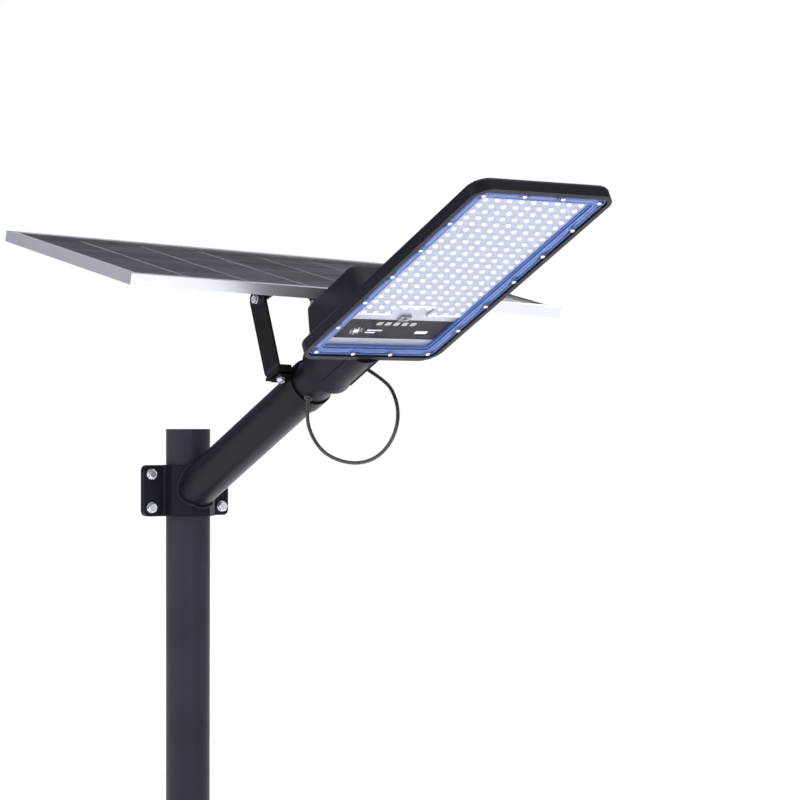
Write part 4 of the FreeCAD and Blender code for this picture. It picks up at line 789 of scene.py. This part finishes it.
def make_seal_relief():
    """Beads along both edges of the seal, pads between its screws and a boss round each screw."""
    beads = bmesh.new()
    tube_loop(beads, rounded_loop(101.6, 207.8, 11.6, 2.0), 0.55 * MM)
    tube_loop(beads, rounded_loop(89.2, 194.2, 7.2, 2.0), 0.7 * MM)
    tube_loop(beads, rounded_loop(86.9, 191.9, 6.0, 4.6), 0.6 * MM)
    for x, y in COVER_SCREWS:
        place = looking(HEAD, (x * MM, y * MM, 2.0 * MM), (0, 0, 1))
        angles = [step / 24 * math.tau for step in range(24)]
        circle = [place @ Vector((4.4 * MM * math.cos(a), 4.4 * MM * math.sin(a), 0)) for a in angles]
        tube_loop(beads, circle, 0.4 * MM, 6)
    # The beads get the lighter blue copy: painted highlight lines along the seal.
    finish_mesh("seal_beads", beads, "arm", seal_painted_highlight, 80)

    pads = bmesh.new()
    side_stops = [-200, -133.4, -66.7, 0, 66.7, 133.4, 200]
    for side in (-1, 1):
        for low, high in zip(side_stops, side_stops[1:]):
            seal_pad(pads, (side * 95.4, low + 7), (side * 95.4, high - 7))
    end_stops = [-91.5, -30.5, 30.5, 91.5]
    for end in (-1, 1):
        for low, high in zip(end_stops, end_stops[1:]):
            seal_pad(pads, (low + 7, end * 200.9), (high - 7, end * 200.9))
    finish_mesh("seal_pads", pads, "arm", seal, 80)


def make_seal_skirt():
    """The seal's inner lip, which lines the wall of the window down to the board."""
    work = bmesh.new()
    outer, inner = (88.8, 193.8, 6.8), (88.3, 193.3, 6.3)
    upper_edge, lower_edge = 4.9, BOARD_FACE - 0.1
    loops = ((*outer, upper_edge), (*outer, lower_edge), (*inner, lower_edge), (*inner, upper_edge))
    rows = [[work.verts.new(point) for point in rounded_loop(*loop)] for loop in loops]
    count = len(rows[0])
    for lower, upper in zip(rows, rows[1:] + rows[:1]):
        for index in range(count):
            following = (index + 1) % count
            work.faces.new((lower[index], lower[following], upper[following], upper[index]))
    finish_mesh("seal_skirt", work, "arm", seal, 60)


def seal_pad(work, start, end):
    """A low rounded strip on the seal between two of its screws."""
    first = HEAD @ Vector((start[0] * MM, start[1] * MM, 2.1 * MM))
    last = HEAD @ Vector((end[0] * MM, end[1] * MM, 2.1 * MM))
    up = (HEAD.to_3x3() @ Vector((0, 0, 1))).normalized()
    ahead = (last - first).normalized()
    side_way = ahead.cross(up)
    steps, sides = 12, 12
    rings = []
    for step in range(steps + 1):
        share = step / steps
        taper = max(0.02, 1 - abs(2 * share - 1) ** 8)
        centre = first.lerp(last, share)
        ring = []
        for side in range(sides):
            angle = 2 * math.pi * side / sides
            ring.append(work.verts.new(
                centre + (side_way * math.cos(angle) * 3.4 + up * math.sin(angle) * 0.85) * MM * taper))
        rings.append(ring)
    for lower, upper in zip(rings, rings[1:]):
        for side in range(sides):
            following = (side + 1) % sides
            work.faces.new((lower[side], lower[following], upper[following], upper[side]))
    work.faces.new(rings[0])
    work.faces.new(list(reversed(rings[-1])))


def slab(work, x, y, z, place=HEAD, edge=0.0):
    """A thin plate with slightly bevelled edges, given in millimetres."""
    made = bmesh.ops.create_cube(work, size=1.0)["verts"]
    low = Vector((x[0], y[0], z[0])) * MM
    high = Vector((x[1], y[1], z[1])) * MM
    for vert in made:
        share = vert.co + Vector((0.5, 0.5, 0.5))
        vert.co = place @ Vector([low[i] + (high[i] - low[i]) * share[i] for i in range(3)])
    if edge:
        edges = {item for vert in made for item in vert.link_edges}
        bmesh.ops.bevel(work, geom=list(edges), offset=edge * MM, segments=2, affect="EDGES", profile=0.6)


def make_lens_fringe():
    """The comb of fine ribs along the lens sheet's lower edge."""
    work = bmesh.new()
    x = -84.0
    while x <= 84.01:
        lifted = 22 if abs(x) < 29 else 0
        reach = 6.0 if abs(x) < 29 else 5.0
        rib_z = (LENS_FACE - 0.7, LENS_FACE - 0.05)
        slab(work, (x - 0.55, x + 0.55), (108.2 - lifted - reach, 108.2 - lifted), rib_z, edge=0.15)
        x += 2.4
    finish_mesh("lens_ribs", work, "arm", dome)


def make_board_step():
    """The grey area of the board that shows round the sensor under the lens sheet."""
    work = bmesh.new()
    corners = [(-88, 109.5), (88, 109.5), (88, 125), (-88, 125)]
    inner = [(-34, 109.5), (-29, 88), (29, 88), (34, 109.5)]
    outline = [corners[0], *inner, corners[1], corners[2], corners[3]]
    rows = []
    for level in (BOARD_FACE - 0.05, BOARD_FACE - 0.4):
        rows.append([work.verts.new(HEAD @ Vector((x * MM, y * MM, level * MM))) for x, y in outline])
    count = len(outline)
    for index in range(count):
        following = (index + 1) % count
        work.faces.new((rows[0][index], rows[0][following], rows[1][following], rows[1][index]))
    work.faces.new(rows[1])
    work.faces.new(list(reversed(rows[0])))
    finish_mesh("board_step", work, "arm", silver)
    eye = bmesh.new()
    place = looking(HEAD, (0, 116.5 * MM, (SENSOR_FACE + 0.02) * MM), (0, 0, -1))
    lathe(eye, [(3.3 * MM, 0), (3.0 * MM, 0.5 * MM), (2.0 * MM, 1.0 * MM), (0.8 * MM, 1.25 * MM)], place, 28)
    finish_mesh("sensor_dome", eye, "arm", sensor_eye)


def make_label_marks():
    """Plain marks on the black band: a sun sign and bars, and a dot grid in each charge window."""
    marks = bmesh.new()
    top, bottom = BAND_FACE, BAND_FACE - 0.12
    ring = looking(HEAD, (-52 * MM, 157 * MM, top * MM), (0, 0, -1))
    lathe(marks, [(4.6 * MM, 0), (4.6 * MM, 0.12 * MM)], ring, 32)
    for step in range(8):
        angle = math.tau * step / 8
        ray = HEAD @ Matrix.Translation((-52 * MM, 157 * MM, 0)) @ Matrix.Rotation(angle, 4, "Z")
        slab(marks, (6.4, 9.6), (-0.7, 0.7), (bottom, top), ray, 0.04)
    for index, (start, width) in enumerate(((-36, 24), (-36, 16))):
        slab(marks, (start, start + width), (152.4 + 6 * index, 155.4 + 6 * index), (bottom, top), edge=0.05)
    slab(marks, (44, 64), (153.4, 160.4), (bottom, top), edge=0.05)
    finish_mesh("label_marks", marks, "arm", print_pale)
    dots = bmesh.new()
    for index in range(5):
        centre = (index - 2) * 13.5
        for dx in (-1, 0, 1):
            for dy in (-1, 0, 1):
                x, y = centre + 2.2 * dx, 135.5 + 2.2 * dy
                dot_z = (WINDOW_FACE - 0.1, WINDOW_FACE + 0.01)
                slab(dots, (x - 0.7, x + 0.7), (y - 0.7, y + 0.7), dot_z, edge=0.03)
    finish_mesh("charge_window_dots", dots, "arm", film)


make_lens_domes()
make_seal_relief()
make_seal_skirt()
make_lens_fringe()
make_board_step()
make_label_marks()

# ------------------------------------------------------------ stage and lights

floor_material = Material("floor", (0.9, 0.9, 0.91), 0.7)
floor_material.tint(floor_material.noise(1.5, 2), 0.01)
floor_material.shader.inputs["Emission Color"].default_value = (1, 1, 1, 1)
floor_material.shader.inputs["Emission Strength"].default_value = 0.8
floor_mesh = bpy.data.meshes.new("floor")
floor_mesh.from_pydata([(-30, -30, 0), (30, -30, 0), (30, 30, 0), (-30, 30, 0)], [], [(0, 1, 2, 3)])
floor = bpy.data.objects.new("floor", floor_mesh)
bpy.context.scene.collection.objects.link(floor)
floor_mesh.materials.append(floor_material.data)

world = bpy.data.worlds.new("studio")
bpy.context.scene.world = world
world.use_nodes = True
sky = world.node_tree
background = sky.nodes["Background"]
seen = sky.nodes.new("ShaderNodeLightPath")
pale = sky.nodes.new("ShaderNodeMix")
pale.data_type = "RGBA"
pale.inputs[6].default_value = (0.24, 0.25, 0.29, 1)
pale.inputs[7].default_value = (1, 1, 1, 1)
sky.links.new(seen.outputs["Is Camera Ray"], pale.inputs[0])
sky.links.new(pale.outputs[2], background.inputs["Color"])
background.inputs["Strength"].default_value = 1.0

AIM = Vector((0, -0.35, 0.68))


def area_light(name, at, size, power, colour=(1, 1, 1), aim=AIM, height=None):
    data = bpy.data.lights.new(name, "AREA")
    data.energy = power
    data.color = colour
    data.size = size
    if height:
        data.shape = "RECTANGLE"
        data.size_y = height
    light = bpy.data.objects.new(name, data)
    light.location = at
    light.rotation_euler = (aim - Vector(at)).to_track_quat("-Z", "Y").to_euler()
    bpy.context.scene.collection.objects.link(light)


area_light("overhead", (0.4, -0.6, 4.0), 5.0, 170)
area_light("key_left", (-3.2, 0.2, 1.9), 1.3, 46, (1, 0.98, 0.96), height=2.4)
area_light("face_fill", (-0.9, -3.0, 0.12), 1.4, 24, (0.93, 0.95, 1.0), Vector((0, -0.7, 0.85)))
area_light("back_right", (2.6, 1.4, 1.8), 1.2, 26, (0.95, 0.97, 1.0), height=2.0)

# ------------------------------------------------------------ update

bpy.context.view_layer.update()
